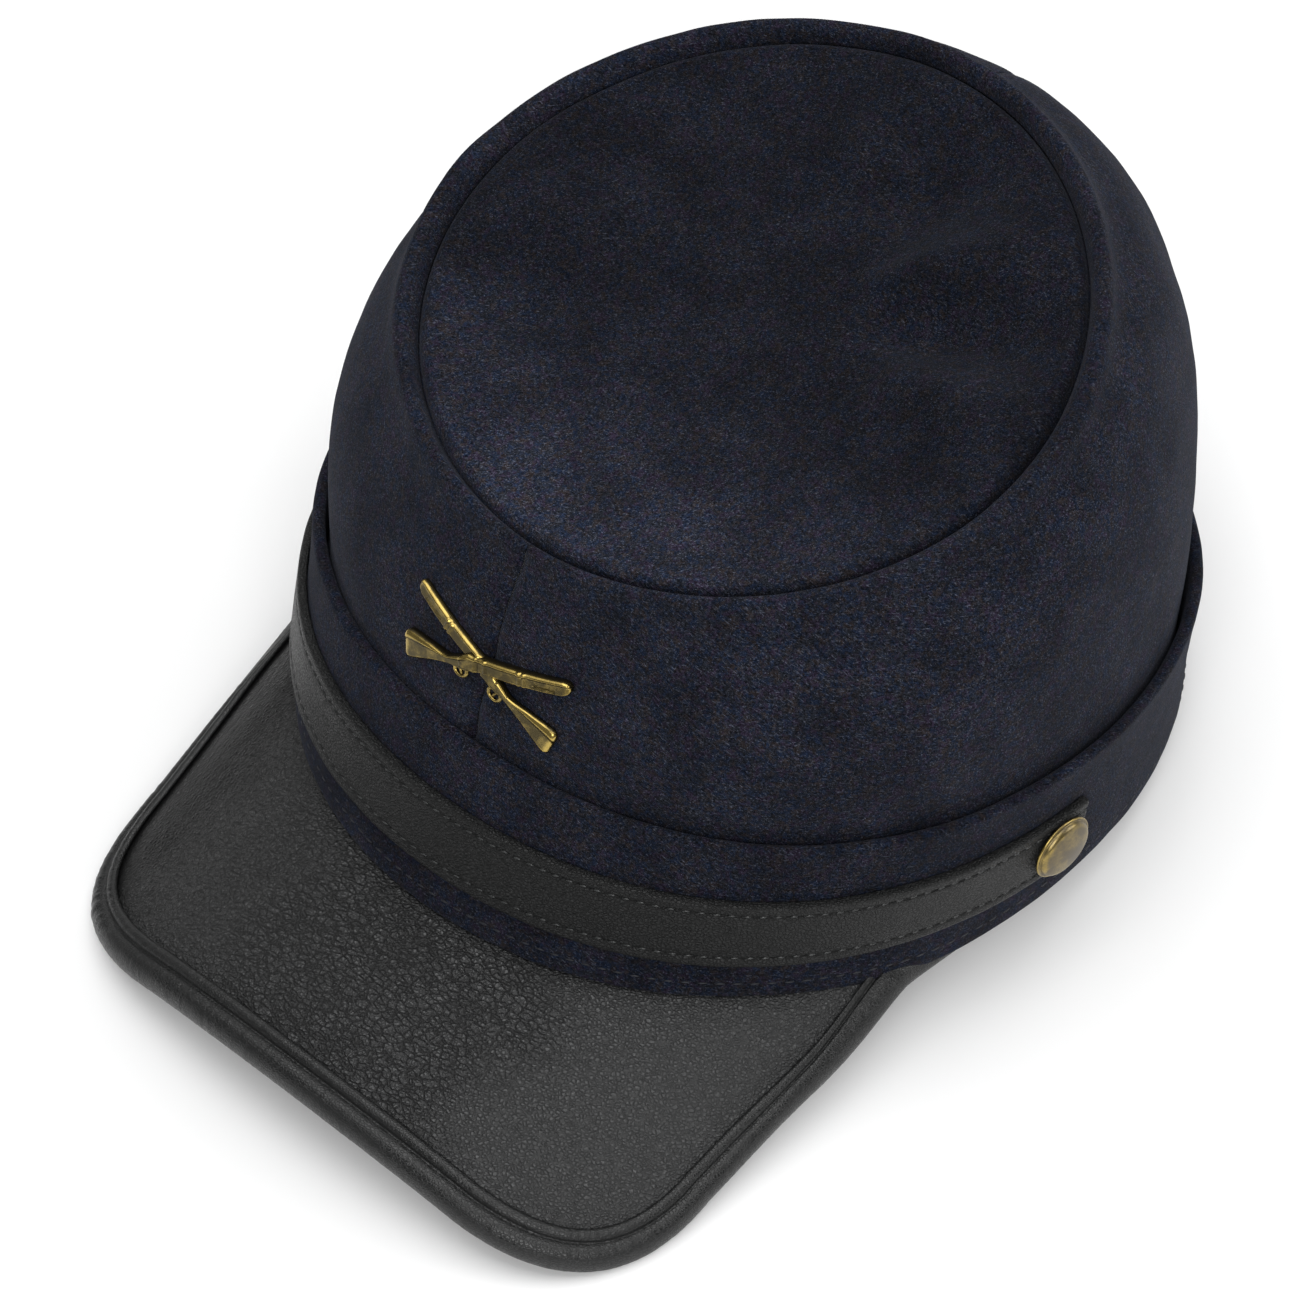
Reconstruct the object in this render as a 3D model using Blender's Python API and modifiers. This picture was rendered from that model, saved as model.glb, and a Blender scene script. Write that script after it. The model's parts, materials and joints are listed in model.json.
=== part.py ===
"""Military cap: a wool forage cap with a recessed round top, a turned-up band, a leather peak with a rolled
edge, a chin strap between two domed buttons, and a badge of two crossed long guns.

Every piece is shaped in the cap's own frame: the rim lies in the plane z = 0 about the origin, the front
looks along -Y and the wearer's left side is +X.  One empty, the resting frame, then tips the whole cap back
until the rim's back and the peak's corners stand on the ground.  Metres and radians throughout.
"""

import math
from collections import namedtuple

import bmesh
import bpy
from mathutils import Matrix, Vector

MM = 0.001
GAP = 0.3 * MM                      # clearance between pieces that touch
MERGE = 0.001 * MM                  # joins the two ends of a closed loop

# Rim and band
RIM_HALF_WIDTH = 91.3 * MM
RIM_HALF_LENGTH = 99.7 * MM
RIM_SQUARE = 0.02
BAND_TOP_HALF_WIDTH = 93.3 * MM
BAND_TOP_HALF_LENGTH = 88.9 * MM
BAND_TOP_SETBACK = 2.3 * MM
BAND_TOP_SQUARE = 0.03
BAND_HEIGHT_FRONT = 37.6 * MM
BAND_HEIGHT_BACK = 40.6 * MM
BAND_WALL = 2.8 * MM
BAND_EDGE = 0.5 * MM                # rounding of the band's lower outer edge

# Crown
CROWN_WALL = 1.8 * MM
CROWN_HEM = 0.5 * MM                # how far the crown's lower edge stays above the rim's plane
MID_HALF_WIDTH = 86.7 * MM
MID_HALF_LENGTH = 87.2 * MM
MID_SETBACK = 5.5 * MM
MID_HEIGHT = 77.1 * MM
MID_SLOPE = math.radians(13.0)
MID_NARROWING = -0.10
MID_SQUARE = 0.02
TOP_HALF_WIDTH = 70.5 * MM
TOP_HALF_LENGTH = 68.5 * MM
TOP_SETBACK = -3.5 * MM
TOP_HEIGHT = 104.6 * MM
TOP_SLOPE = math.radians(18.5)
TOP_NARROWING = -0.04
TOP_SQUARE = -0.01
RING_WIDTH_SIDE = 6.4 * MM
RING_WIDTH_END = 4.5 * MM
RING_HEIGHT = 1.5 * MM
RING_DROP = 2.5 * MM
SEAM_TUCK = 3.0 * MM                # depth of the edges turned down in the seam round the top
SEAM_DIP = 0.5 * MM                 # how far the panels' edges sink in beside the front and back seams
TOP_SAG = 2.5 * MM
TOP_FOLD = 1.2 * MM                 # height of the highest fold in the top

# Peak and its binding
PEAK_ROOT_HALF_WIDTH = 83.8 * MM
PEAK_FRONT_HALF_WIDTH = 79.2 * MM
PEAK_SIDE_REACH = 132.5 * MM        # from the rim's centre forward to the corner of the straight edges
PEAK_FRONT_BULGE = 7.0 * MM
PEAK_CORNER = 32.0 * MM             # length that each rounded corner takes from either edge
PEAK_SLOPE = 0.47                   # fall for each unit forward of the rim
PEAK_BEND = 5.0 * MM                # softens the bend along the rim
PEAK_WALL = 2.4 * MM
PEAK_LEDGE_MARGIN = 1.0 * MM        # how far the ledge under the band reaches past the lip's width
BINDING_WALL = 1.1 * MM
BINDING_LIP = 5.5 * MM
BINDING_ROLL = 3.4 * MM             # radius of the rolled edge
BINDING_GROOVE = 0.6 * MM
BINDING_GAP = 0.6 * MM              # clearance of the binding's slot round the sheet's edge

# Chin strap
STRAP_LOW = 10.3 * MM
STRAP_WIDTH = 15.8 * MM
STRAP_WALL = 2.0 * MM
STRAP_EDGE = 0.6 * MM
STRAP_TAIL = 7.5 * MM               # from each button's centre to the strap's end

# Buttons
BUTTON_ANGLE = math.radians(6.1)    # forward of the sides' middle
BUTTON_RADIUS = 7.5 * MM
BUTTON_HEIGHT = 2.6 * MM
BUTTON_RIM = 0.9 * MM
SHANK_RADIUS = 1.6 * MM
SHANK_END = 0.6 * MM                # how far shanks and the badge's post reach past the crown's inner face

# Badge
GUN_LENGTH = 44.4 * MM
GUN_ANGLE = math.radians(14.7)
GUN_HALF_WIDTH = 3.3 * MM           # of the butt, the widest place
GUN_DROP = 4.0 * MM                 # of the butt below the barrel's line
GUN_RELIEF = 1.7 * MM
GUN_STEP = 0.6 * MM                 # how much higher the upper gun lies than the lower
GUARD_RADIUS = 1.7 * MM
GUARD_WIRE = 0.45 * MM
POST_RADIUS = 1.0 * MM
BADGE_PLACE = 0.463                 # share of the way up the wall from the band to the ring
BADGE_OFFSET = -1.0 * MM            # of the guns' crossing from the front seam, to the wearer's right
BADGE_TURN = math.radians(-1.9)     # how far the pinned badge has turned, its right end down

# Facets
BAND_STATIONS = 64
PANEL_STATIONS = 25
TOP_STATIONS = 36
SIDE_STATIONS = 9
CORNER_STATIONS = 8
FRONT_STATIONS = 6
LEDGE_ROWS = 6

Section = namedtuple("Section", "half_width half_length setback height slope narrowing square")
RIM = Section(RIM_HALF_WIDTH, RIM_HALF_LENGTH, 0.0, 0.0, 0.0, 0.0, RIM_SQUARE)
BAND_TOP = Section(
    BAND_TOP_HALF_WIDTH,
    BAND_TOP_HALF_LENGTH,
    BAND_TOP_SETBACK,
    (BAND_HEIGHT_FRONT + BAND_HEIGHT_BACK) / 2.0,
    math.asin((BAND_HEIGHT_BACK - BAND_HEIGHT_FRONT) / (2.0 * BAND_TOP_HALF_LENGTH)),
    0.0,
    BAND_TOP_SQUARE,
)
MID = Section(
    MID_HALF_WIDTH, MID_HALF_LENGTH, MID_SETBACK, MID_HEIGHT, MID_SLOPE, MID_NARROWING, MID_SQUARE
)
TOP = Section(
    TOP_HALF_WIDTH, TOP_HALF_LENGTH, TOP_SETBACK, TOP_HEIGHT, TOP_SLOPE, TOP_NARROWING, TOP_SQUARE
)

# The ring's profile from its outer shoulder in to the seam: shares of its width and of its height or drop.
RingRow = namedtuple("RingRow", "out up")
RING_ROWS = (
    RingRow(1.00, -1.00),
    RingRow(0.92, 0.20),
    RingRow(0.74, 0.95),
    RingRow(0.42, 1.00),
    RingRow(0.16, 0.60),
    RingRow(0.00, 0.00),
)

# Folds in the top: direction from its middle, how far in they reach, half width and height as shares.
Fold = namedtuple("Fold", "angle inner spread height")
TOP_FOLDS = (
    Fold(math.radians(26.0), 0.35, 0.13, 1.0),
    Fold(math.radians(40.0), 0.40, 0.12, -0.9),
    Fold(math.radians(58.0), 0.50, 0.16, 0.6),
    Fold(math.radians(8.0), 0.55, 0.12, -0.6),
    Fold(math.radians(190.0), 0.55, 0.20, 0.5),
    Fold(math.radians(214.0), 0.55, 0.20, -0.5),
)

# A long gun from butt to muzzle: share of its length, then shares of half width, drop and relief.
GunRow = namedtuple("GunRow", "along half_width drop relief")
GUN_ROWS = (
    GunRow(0.00, 0.90, 1.00, 0.55),
    GunRow(0.02, 1.00, 0.97, 0.75),
    GunRow(0.10, 0.82, 0.78, 0.80),
    GunRow(0.20, 0.51, 0.59, 0.80),
    GunRow(0.27, 0.31, 0.55, 0.80),
    GunRow(0.32, 0.30, 0.47, 0.85),
    GunRow(0.37, 0.38, 0.35, 0.90),
    GunRow(0.43, 0.58, 0.17, 1.00),
    GunRow(0.47, 0.56, 0.13, 1.00),
    GunRow(0.54, 0.52, 0.09, 0.95),
    GunRow(0.66, 0.51, 0.06, 0.94),
    GunRow(0.78, 0.51, 0.03, 0.92),
    GunRow(0.90, 0.51, 0.00, 0.90),
    GunRow(0.97, 0.48, 0.00, 0.85),
    GunRow(1.00, 0.30, 0.00, 0.55),
)
# Across a gun from its lower edge over the ridge to its upper edge: shares of half width and relief.
GUN_SECTION = ((-1.0, 0.0), (-0.94, 0.62), (0.25, 0.80), (0.55, 1.0), (0.90, 0.62), (1.0, 0.0))
GUARD_ALONG = 0.37


def oval(half_x, half_y, theta, narrowing, square):
    """A point of an oval that may be narrower at its back and squarer than an ellipse."""
    swell = 1.0 + square * (1.0 - math.cos(4.0 * theta)) / 2.0
    x = half_x * math.cos(theta) * (1.0 + narrowing * math.sin(theta)) * swell
    y = half_y * math.sin(theta) * swell
    return x, y


def on_section(section, theta, outward=0.0, up=0.0, share=1.0):
    """A point of a section's oval, moved outward and up from its tilted plane and drawn in by a share."""
    half_x = section.half_width + outward
    half_y = section.half_length + outward
    x, y = oval(half_x, half_y, theta, section.narrowing, section.square)
    slant = Vector((0.0, math.cos(section.slope), math.sin(section.slope)))
    normal = Vector((0.0, -math.sin(section.slope), math.cos(section.slope)))
    centre = Vector((0.0, section.setback, section.height))
    return centre + Vector((x * share, 0.0, 0.0)) + slant * (y * share) + normal * up


def band_place(theta, height, outward):
    """A point on the band's outer face at that height, or off it by outward."""
    share = height / BAND_TOP.height
    return on_section(RIM, theta, outward).lerp(on_section(BAND_TOP, theta, outward), share)


def ring_width(theta):
    side = math.cos(theta) ** 2
    return RING_WIDTH_SIDE * side + RING_WIDTH_END * (1.0 - side)


def ring_place(theta, row):
    up = row.up * (RING_HEIGHT if row.up > 0.0 else RING_DROP)
    return on_section(TOP, theta, row.out * ring_width(theta), up)


def wall_place(theta, rise):
    """A point on the crown's outer face: rise is 0 at the band's top edge and 1 at the ring's shoulder."""
    low = on_section(BAND_TOP, theta, -BAND_WALL - GAP)
    middle = on_section(MID, theta)
    high = ring_place(theta, RING_ROWS[0])
    return low * (1.0 - rise) * (1.0 - 2.0 * rise) + middle * 4.0 * rise * (1.0 - rise) + high * rise * (
        2.0 * rise - 1.0
    )


def outward_normal(place, theta, along, step):
    """The outward normal of a face given by place(theta, along)."""
    turn = place(theta + 0.001, along) - place(theta - 0.001, along)
    climb = place(theta, along + step) - place(theta, along - step)
    return turn.cross(climb).normalized()


def grid(columns, rows, place, wrap_columns=False, wrap_rows=False):
    """A bmesh grid with each point at place(column, row).  A wrapped direction closes on itself."""
    bm = bmesh.new()
    last_column = columns if wrap_columns else columns - 1
    last_row = rows if wrap_rows else rows - 1
    bmesh.ops.create_grid(bm, x_segments=last_column, y_segments=last_row, size=1.0)
    for vertex in bm.verts:
        column = round((vertex.co.x + 1.0) / 2.0 * last_column) % columns
        row = round((vertex.co.y + 1.0) / 2.0 * last_row) % rows
        vertex.co = place(column, row)
    bmesh.ops.remove_doubles(bm, verts=bm.verts, dist=MERGE)
    return bm


def close(bm):
    """Caps any open ends and turns every face outward."""
    open_edges = [edge for edge in bm.edges if edge.is_boundary]
    if open_edges:
        bmesh.ops.holes_fill(bm, edges=open_edges, sides=0)
    bmesh.ops.recalc_face_normals(bm, faces=bm.faces)
    return bm


def to_object(name, bm, collection, material=None):
    """Makes the bmesh a smooth-shaded object."""
    mesh = bpy.data.meshes.new(name)
    bm.to_mesh(mesh)
    bm.free()
    mesh.shade_smooth()
    mesh.set_sharp_from_angle(angle=math.radians(40.0))
    if material:
        mesh.materials.append(material)
    obj = bpy.data.objects.new(name, mesh)
    collection.objects.link(obj)
    return obj


def thicken(obj, wall, offset):
    """Gives an open surface its wall: offset -1 puts it under the surface and 0 on both sides."""
    solidify = obj.modifiers.new("wall", "SOLIDIFY")
    solidify.thickness = wall
    solidify.offset = offset
    solidify.use_even_offset = False
    return obj


def boolean(obj, other, operation):
    cut = obj.modifiers.new(other.name, "BOOLEAN")
    cut.operation = operation
    cut.solver = "EXACT"
    cut.object = other


def make_cutter(name, bm, cutters):
    obj = to_object(name, bm, cutters)
    obj.hide_render = True
    obj.display_type = "WIRE"
    return obj


def make_material(name, colour, roughness, metallic=0.0):
    material = bpy.data.materials.new(name)
    material.use_nodes = True
    shader = material.node_tree.nodes["Principled BSDF"]
    shader.inputs["Base Color"].default_value = (*colour, 1.0)
    shader.inputs["Roughness"].default_value = roughness
    shader.inputs["Metallic"].default_value = metallic
    return material


def make_crown_side(name, start, parts, material):
    """One wall panel, from its lower edge inside the band up over the ring and down into the top's seam."""
    rises = (0.0, 0.07, 0.20, 0.37, 0.55, 0.73, 0.88)
    hem = CROWN_HEM / BAND_TOP.height
    rows = 2 + len(rises) + len(RING_ROWS) + 1

    def profile(theta):
        inset = -BAND_WALL - GAP
        points = [on_section(RIM, theta, inset).lerp(on_section(BAND_TOP, theta, inset), s) for s in (hem, 0.5)]
        points += [wall_place(theta, rise) for rise in rises]
        points += [ring_place(theta, row) for row in RING_ROWS]
        points.append(on_section(TOP, theta, 0.0, -SEAM_TUCK))
        return points

    side = 1.0 if start < 0.0 else -1.0
    pillow = 0.02
    shares = [0.0, pillow / 2.0, pillow * 1.5]
    inner = PANEL_STATIONS - 2 * len(shares)
    shares += [pillow * 1.5 + (1.0 - 3.0 * pillow) * (i + 1) / (inner + 1) for i in range(inner)]
    shares += [1.0 - pillow * 1.5, 1.0 - pillow / 2.0, 1.0]

    def place(column, row):
        theta = start + math.pi * shares[column]
        point = profile(theta)[row]
        if column in (0, PANEL_STATIONS - 1):
            point.x = side * GAP / 2.0
            if row < 2 + len(rises):
                point.y -= math.copysign(SEAM_DIP, point.y)
            elif row < rows - 2:
                point.z -= SEAM_DIP
        return point

    panel = to_object(name, grid(PANEL_STATIONS, rows, place), parts, material)
    return thicken(panel, CROWN_WALL, -1.0)


def fold_height(theta, share):
    """The folds' height at that direction and share of the way out from the top's middle."""
    height = 0.0
    for fold in TOP_FOLDS:
        if share > fold.inner:
            turn = math.remainder(theta - fold.angle, 2.0 * math.pi) / fold.spread
            reach = (share - fold.inner) / (1.0 - fold.inner)
            height += TOP_FOLD * fold.height * math.exp(-turn * turn) * math.sin(math.pi * reach ** 0.8)
    return height


def make_crown_top(parts, material):
    """The round top: a sagging disc whose edge turns down inside the ring's seam."""
    edge = 1.0 - 1.4 * CROWN_WALL / TOP.half_length  # past the wall's thickness, so the inner corner stays open
    shares = [edge * share for share in (1.0, 0.96, 0.87, 0.74, 0.58, 0.41, 0.20, 0.0)]
    rows = 2 + len(shares)

    def place(column, row):
        theta = 2.0 * math.pi * column / TOP_STATIONS
        if row == 0:
            return on_section(TOP, theta, -GAP, -SEAM_TUCK)
        if row == 1:
            return on_section(TOP, theta, -GAP, -GAP)
        share = shares[row - 2]
        up = fold_height(theta, share) - TOP_SAG * (1.0 - share * share)
        return on_section(TOP, theta, -GAP, up, share)

    disc = to_object("crown_top", grid(TOP_STATIONS, rows, place, wrap_columns=True), parts, material)
    return thicken(disc, CROWN_WALL, -1.0)


def make_band(parts, material):
    """The turned-up cuff: flat below, folded over in a half round at its top edge."""
    fold = BAND_WALL / 2.0
    profile = [(BAND_EDGE, 0.0, 0.0), (BAND_EDGE * 0.25, 0.0, BAND_EDGE * 0.35), (0.0, 0.0, BAND_EDGE * 1.2)]
    profile.append((0.0, 0.5, 0.0))
    for step in range(5):
        turn = math.pi * step / 4.0
        profile.append((fold - fold * math.cos(turn), 1.0, fold * (math.sin(turn) - 1.0)))
    profile += [(BAND_WALL, 0.5, 0.0), (BAND_WALL, 0.0, 0.0)]

    def place(column, row):
        theta = 2.0 * math.pi * column / BAND_STATIONS
        depth, share, extra = profile[row]
        return band_place(theta, BAND_TOP.height * share + extra, -depth)

    bm = grid(BAND_STATIONS, len(profile), place, wrap_columns=True, wrap_rows=True)
    return to_object("band", close(bm), parts, material)


def rim_front(x):
    """The y of the rim's front half at x, without the rim's slight squareness."""
    share = min(abs(x) / RIM_HALF_WIDTH, 0.995)
    return -RIM_HALF_LENGTH * math.sqrt(1.0 - share * share)


def peak_height(x, y):
    """The height of the peak's middle surface: level under the band, then falling forward."""
    beyond = rim_front(x) - y
    fall = (beyond + math.hypot(beyond, PEAK_BEND) - PEAK_BEND) / 2.0
    return -GAP - PEAK_WALL / 2.0 - PEAK_SLOPE * max(fall, 0.0)


def peak_place(x, y, up=0.0):
    """A point of the peak's middle surface, moved along its normal."""
    step = 0.2 * MM
    dx = (peak_height(x + step, y) - peak_height(x - step, y)) / (2.0 * step)
    dy = (peak_height(x, y + step) - peak_height(x, y - step)) / (2.0 * step)
    normal = Vector((-dx, -dy, 1.0)).normalized()
    return Vector((x, y, peak_height(x, y))) + normal * up


def peak_outline():
    """The peak's edge in plan, from the wearer's right root round the front to the left root."""
    root = Vector((PEAK_ROOT_HALF_WIDTH, rim_front(PEAK_ROOT_HALF_WIDTH)))
    corner = Vector((PEAK_FRONT_HALF_WIDTH, -PEAK_SIDE_REACH))
    side_end = Vector((PEAK_FRONT_HALF_WIDTH, PEAK_CORNER - PEAK_SIDE_REACH))

    def front(x):
        return Vector((x, -PEAK_SIDE_REACH - PEAK_FRONT_BULGE * (1.0 - (x / PEAK_FRONT_HALF_WIDTH) ** 2)))

    front_start = PEAK_FRONT_HALF_WIDTH - PEAK_CORNER
    half = [root.lerp(side_end, (i / SIDE_STATIONS) ** 1.3) for i in range(SIDE_STATIONS)]
    for i in range(CORNER_STATIONS):
        share = i / CORNER_STATIONS
        half.append(side_end.lerp(corner, share).lerp(corner.lerp(front(front_start), share), share))
    half += [front(front_start * (1.0 - i / FRONT_STATIONS)) for i in range(FRONT_STATIONS + 1)]
    return [Vector((-p.x, p.y)) for p in half] + half[-2::-1]


def peak_stations():
    """For each point of the outline: the point, the plan direction in from it, and its slope-true stretch."""
    outline = peak_outline()
    stations = []
    for i, point in enumerate(outline):
        along = outline[min(i + 1, len(outline) - 1)] - outline[max(i - 1, 0)]
        inward = Vector((-along.y, along.x)).normalized()
        probe = point + inward * MM
        climb = PEAK_SLOPE * ((probe.y - rim_front(probe.x)) - (point.y - rim_front(point.x))) / MM
        stations.append((point, inward, 1.0 / math.hypot(1.0, climb)))
    return stations


def make_peak(stations, parts, material):
    """The leather sheet, from its ledge under the band forward into the binding's slot."""
    ledge = BINDING_LIP + PEAK_LEDGE_MARGIN
    end_angle = math.acos(PEAK_ROOT_HALF_WIDTH / RIM_HALF_WIDTH)
    edge_rows = (0.0, 0.5, 1.0)
    rows = len(edge_rows) + LEDGE_ROWS

    def place(column, row):
        point, inward, stretch = stations[column]
        up = PEAK_WALL / 2.0
        if row >= rows:
            row = 2 * rows - 1 - row
            up = -up
        lip = inward * (BINDING_LIP * stretch)
        if row < len(edge_rows):
            return peak_place(*(point + lip * edge_rows[row]), up)
        share = column / (len(stations) - 1)
        theta = -math.pi + end_angle + (math.pi - 2.0 * end_angle) * share
        root = on_section(RIM, theta, -ledge)
        near = ((row - len(edge_rows) + 1) / LEDGE_ROWS) ** 0.7
        return peak_place(*(point + lip).lerp(Vector((root.x, root.y)), near), up)

    bm = grid(len(stations), 2 * rows, place, wrap_rows=True)
    return to_object("peak", close(bm), parts, material)


def make_binding(stations, parts, cutters, material):
    """The rolled edge: an inner lip above and below the sheet, a groove, and the round roll."""
    slot = PEAK_WALL / 2.0 + BINDING_GAP
    lip = slot + BINDING_WALL
    profile = [(-BINDING_LIP, slot), (-BINDING_LIP * 0.96, lip - 0.2 * MM), (-BINDING_LIP * 0.8, lip)]
    profile += [(-BINDING_LIP * 0.5, lip), (-BINDING_LIP * 0.4, lip - BINDING_GROOVE)]
    roll_steps = 7
    for step in range(roll_steps):
        turn = math.radians(110.0 - 220.0 * step / (roll_steps - 1))
        profile.append((BINDING_ROLL * math.cos(turn), BINDING_ROLL * math.sin(turn)))
    profile += [(-BINDING_LIP * 0.5, -lip), (-BINDING_LIP * 0.96, 0.2 * MM - lip), (-BINDING_LIP, -slot)]
    profile += [(-BINDING_LIP * 0.5, -slot), (BINDING_GAP, -slot)]
    profile += [(BINDING_GAP, slot), (-BINDING_LIP * 0.5, slot)]

    def place(column, row):
        point, inward, stretch = stations[column]
        out, up = profile[row]
        if out <= 0.0:
            x, y = point - inward * (out * stretch)
            return peak_place(x, y, up)
        edge = peak_place(point.x, point.y, up)
        inner_point = point + inward * MM
        outward = (peak_place(point.x, point.y) - peak_place(inner_point.x, inner_point.y)).normalized()
        return edge + outward * out

    bm = grid(len(stations), len(profile), place, wrap_rows=True)
    binding = to_object("peak_binding", close(bm), parts, material)
    boolean(binding, make_band_clearance(cutters), "DIFFERENCE")
    return binding


def make_band_clearance(cutters):
    """The lowest third of the band's outer form with clearance, a solid that trims what passes under it."""
    heights = (-GAP, BAND_HEIGHT_FRONT / 3.0)

    def place(column, row):
        theta = 2.0 * math.pi * column / BAND_STATIONS
        return band_place(theta, heights[row], GAP)

    bm = grid(BAND_STATIONS, 2, place, wrap_columns=True)
    return make_cutter("band_clearance", close(bm), cutters)


def button_frame(side):
    """Where a button sits on the strap's outer face, with its axis along the face's outward normal."""
    theta = -BUTTON_ANGLE if side > 0 else math.pi + BUTTON_ANGLE
    height = STRAP_LOW + STRAP_WIDTH / 2.0
    outward = GAP + STRAP_WALL

    def face(angle, level):
        return band_place(angle, level, outward)

    normal = outward_normal(face, theta, height, MM)
    turn = normal.to_track_quat("Z", "Y").to_matrix().to_4x4()
    return Matrix.Translation(face(theta, height) + normal * GAP) @ turn


def make_strap(parts, material):
    """The strap lies along the front of the band and ends just past each button."""
    end = -BUTTON_ANGLE + STRAP_TAIL / RIM_HALF_LENGTH
    start = -math.pi - end
    stations = 50
    inner, outer, edge = GAP, GAP + STRAP_WALL, STRAP_EDGE
    high = STRAP_LOW + STRAP_WIDTH
    profile = [(inner, STRAP_LOW), (outer - edge, STRAP_LOW), (outer, STRAP_LOW + edge)]
    profile += [(outer, high - edge), (outer - edge, high), (inner, high)]

    def place(column, row):
        theta = start + (end - start) * column / (stations - 1)
        outward, height = profile[row]
        return band_place(theta, height, outward)

    bm = grid(stations, len(profile), place, wrap_rows=True)
    return to_object("chin_strap", close(bm), parts, material)


def make_shank_cutter(name, matrix, cutters):
    """A cylinder along a button's axis that opens the strap, band and crown for its shank."""
    bm = bmesh.new()
    depth = 2.0 * (STRAP_WALL + BAND_WALL + CROWN_WALL + 4.0 * GAP + SHANK_END + MM)
    bmesh.ops.create_cone(
        bm, cap_ends=True, segments=16, radius1=SHANK_RADIUS + GAP, radius2=SHANK_RADIUS + GAP, depth=depth
    )
    cutter = make_cutter(name, bm, cutters)
    cutter.matrix_world = matrix
    return cutter


def make_button(name, matrix, parts, material):
    """A domed button turned about its axis, with its rolled rim, flat back and shank in one piece."""
    reach = GAP + STRAP_WALL + GAP + BAND_WALL + GAP + CROWN_WALL + SHANK_END
    profile = [(0.0, BUTTON_HEIGHT)]
    steps = 6
    for step in range(1, steps):
        lean = math.pi / 2.0 * step / steps
        radius = (BUTTON_RADIUS - BUTTON_RIM * 0.6) * math.sin(lean)
        profile.append((radius, BUTTON_RIM + (BUTTON_HEIGHT - BUTTON_RIM) * math.cos(lean)))
    profile += [(BUTTON_RADIUS - BUTTON_RIM * 0.5, BUTTON_RIM), (BUTTON_RADIUS, BUTTON_RIM * 0.6)]
    profile += [(BUTTON_RADIUS - BUTTON_RIM * 0.3, 0.0), (SHANK_RADIUS, 0.0)]
    profile += [(SHANK_RADIUS, -reach), (0.0, -reach)]
    bm = bmesh.new()
    points = [bm.verts.new((x, 0.0, z)) for x, z in profile]
    for first, second in zip(points, points[1:]):
        bm.edges.new((first, second))
    button = to_object(name, bm, parts, material)
    screw = button.modifiers.new("turn", "SCREW")
    screw.steps = 20
    screw.render_steps = 20
    screw.use_merge_vertices = True
    screw.merge_threshold = MERGE
    screw.use_smooth_shade = True
    button.matrix_world = matrix
    return button


def gun_bmesh(lean, step):
    """One long gun lying flat, its butt at the left for a positive lean, raised by step."""

    def place(column, row):
        gun, (across, relief) = GUN_ROWS[column], GUN_SECTION[row]
        along = (gun.along - 0.5) * GUN_LENGTH
        side = across * gun.half_width * GUN_HALF_WIDTH - gun.drop * GUN_DROP
        up = relief * gun.relief * GUN_RELIEF + (step if relief > 0.0 else 0.0)
        return Vector((along, side, up))

    bm = close(grid(len(GUN_ROWS), len(GUN_SECTION), place, wrap_rows=True))
    turn_gun(bm, lean)
    return bm


def turn_gun(bm, lean):
    """Mirrors a gun that points the other way, turns it to its lean and moves it to the crossing."""
    if lean < 0.0:
        bmesh.ops.scale(bm, vec=(-1.0, 1.0, 1.0), verts=bm.verts)
        bmesh.ops.reverse_faces(bm, faces=bm.faces)
    bmesh.ops.rotate(bm, matrix=Matrix.Rotation(lean + BADGE_TURN, 3, "Z"), verts=bm.verts)
    bmesh.ops.translate(bm, vec=(BADGE_OFFSET, 0.0, 0.0), verts=bm.verts)


def guard_object(name, lean, cutters):
    """A trigger guard: a small ring half sunk in the gun's lower edge."""
    bpy.ops.mesh.primitive_torus_add(
        major_radius=GUARD_RADIUS, minor_radius=GUARD_WIRE, major_segments=14, minor_segments=6
    )
    ring = bpy.context.object
    bm = bmesh.new()
    bm.from_mesh(ring.data)
    bpy.data.objects.remove(ring)
    at = Vector(((GUARD_ALONG - 0.5) * GUN_LENGTH, -GUN_HALF_WIDTH * 0.62 - GUARD_RADIUS * 0.5, GUARD_WIRE))
    bmesh.ops.translate(bm, vec=at, verts=bm.verts)
    turn_gun(bm, lean)
    return make_cutter(name, bm, cutters)


def wall_bend(point):
    """Carries a point of the flat badge to the crown's front wall: x round it, y up it, z off it."""
    front, step = -math.pi / 2.0, 0.1
    wall_height = (wall_place(front, BADGE_PLACE + step) - wall_place(front, BADGE_PLACE - step)).length
    rise = BADGE_PLACE + 2.0 * step * point.y / wall_height
    reach = (wall_place(front + step, rise) - wall_place(front - step, rise)).length
    theta = front + 2.0 * step * point.x / reach
    normal = outward_normal(wall_place, theta, rise, 0.01)
    return wall_place(theta, rise) + normal * (GAP + point.z)


def post_bmesh(radius, low, high):
    bm = bmesh.new()
    bmesh.ops.create_cone(bm, cap_ends=True, segments=12, radius1=radius, radius2=radius, depth=high - low)
    bmesh.ops.translate(bm, vec=(0.0, 0.0, (high + low) / 2.0), verts=bm.verts)
    return bm


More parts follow.
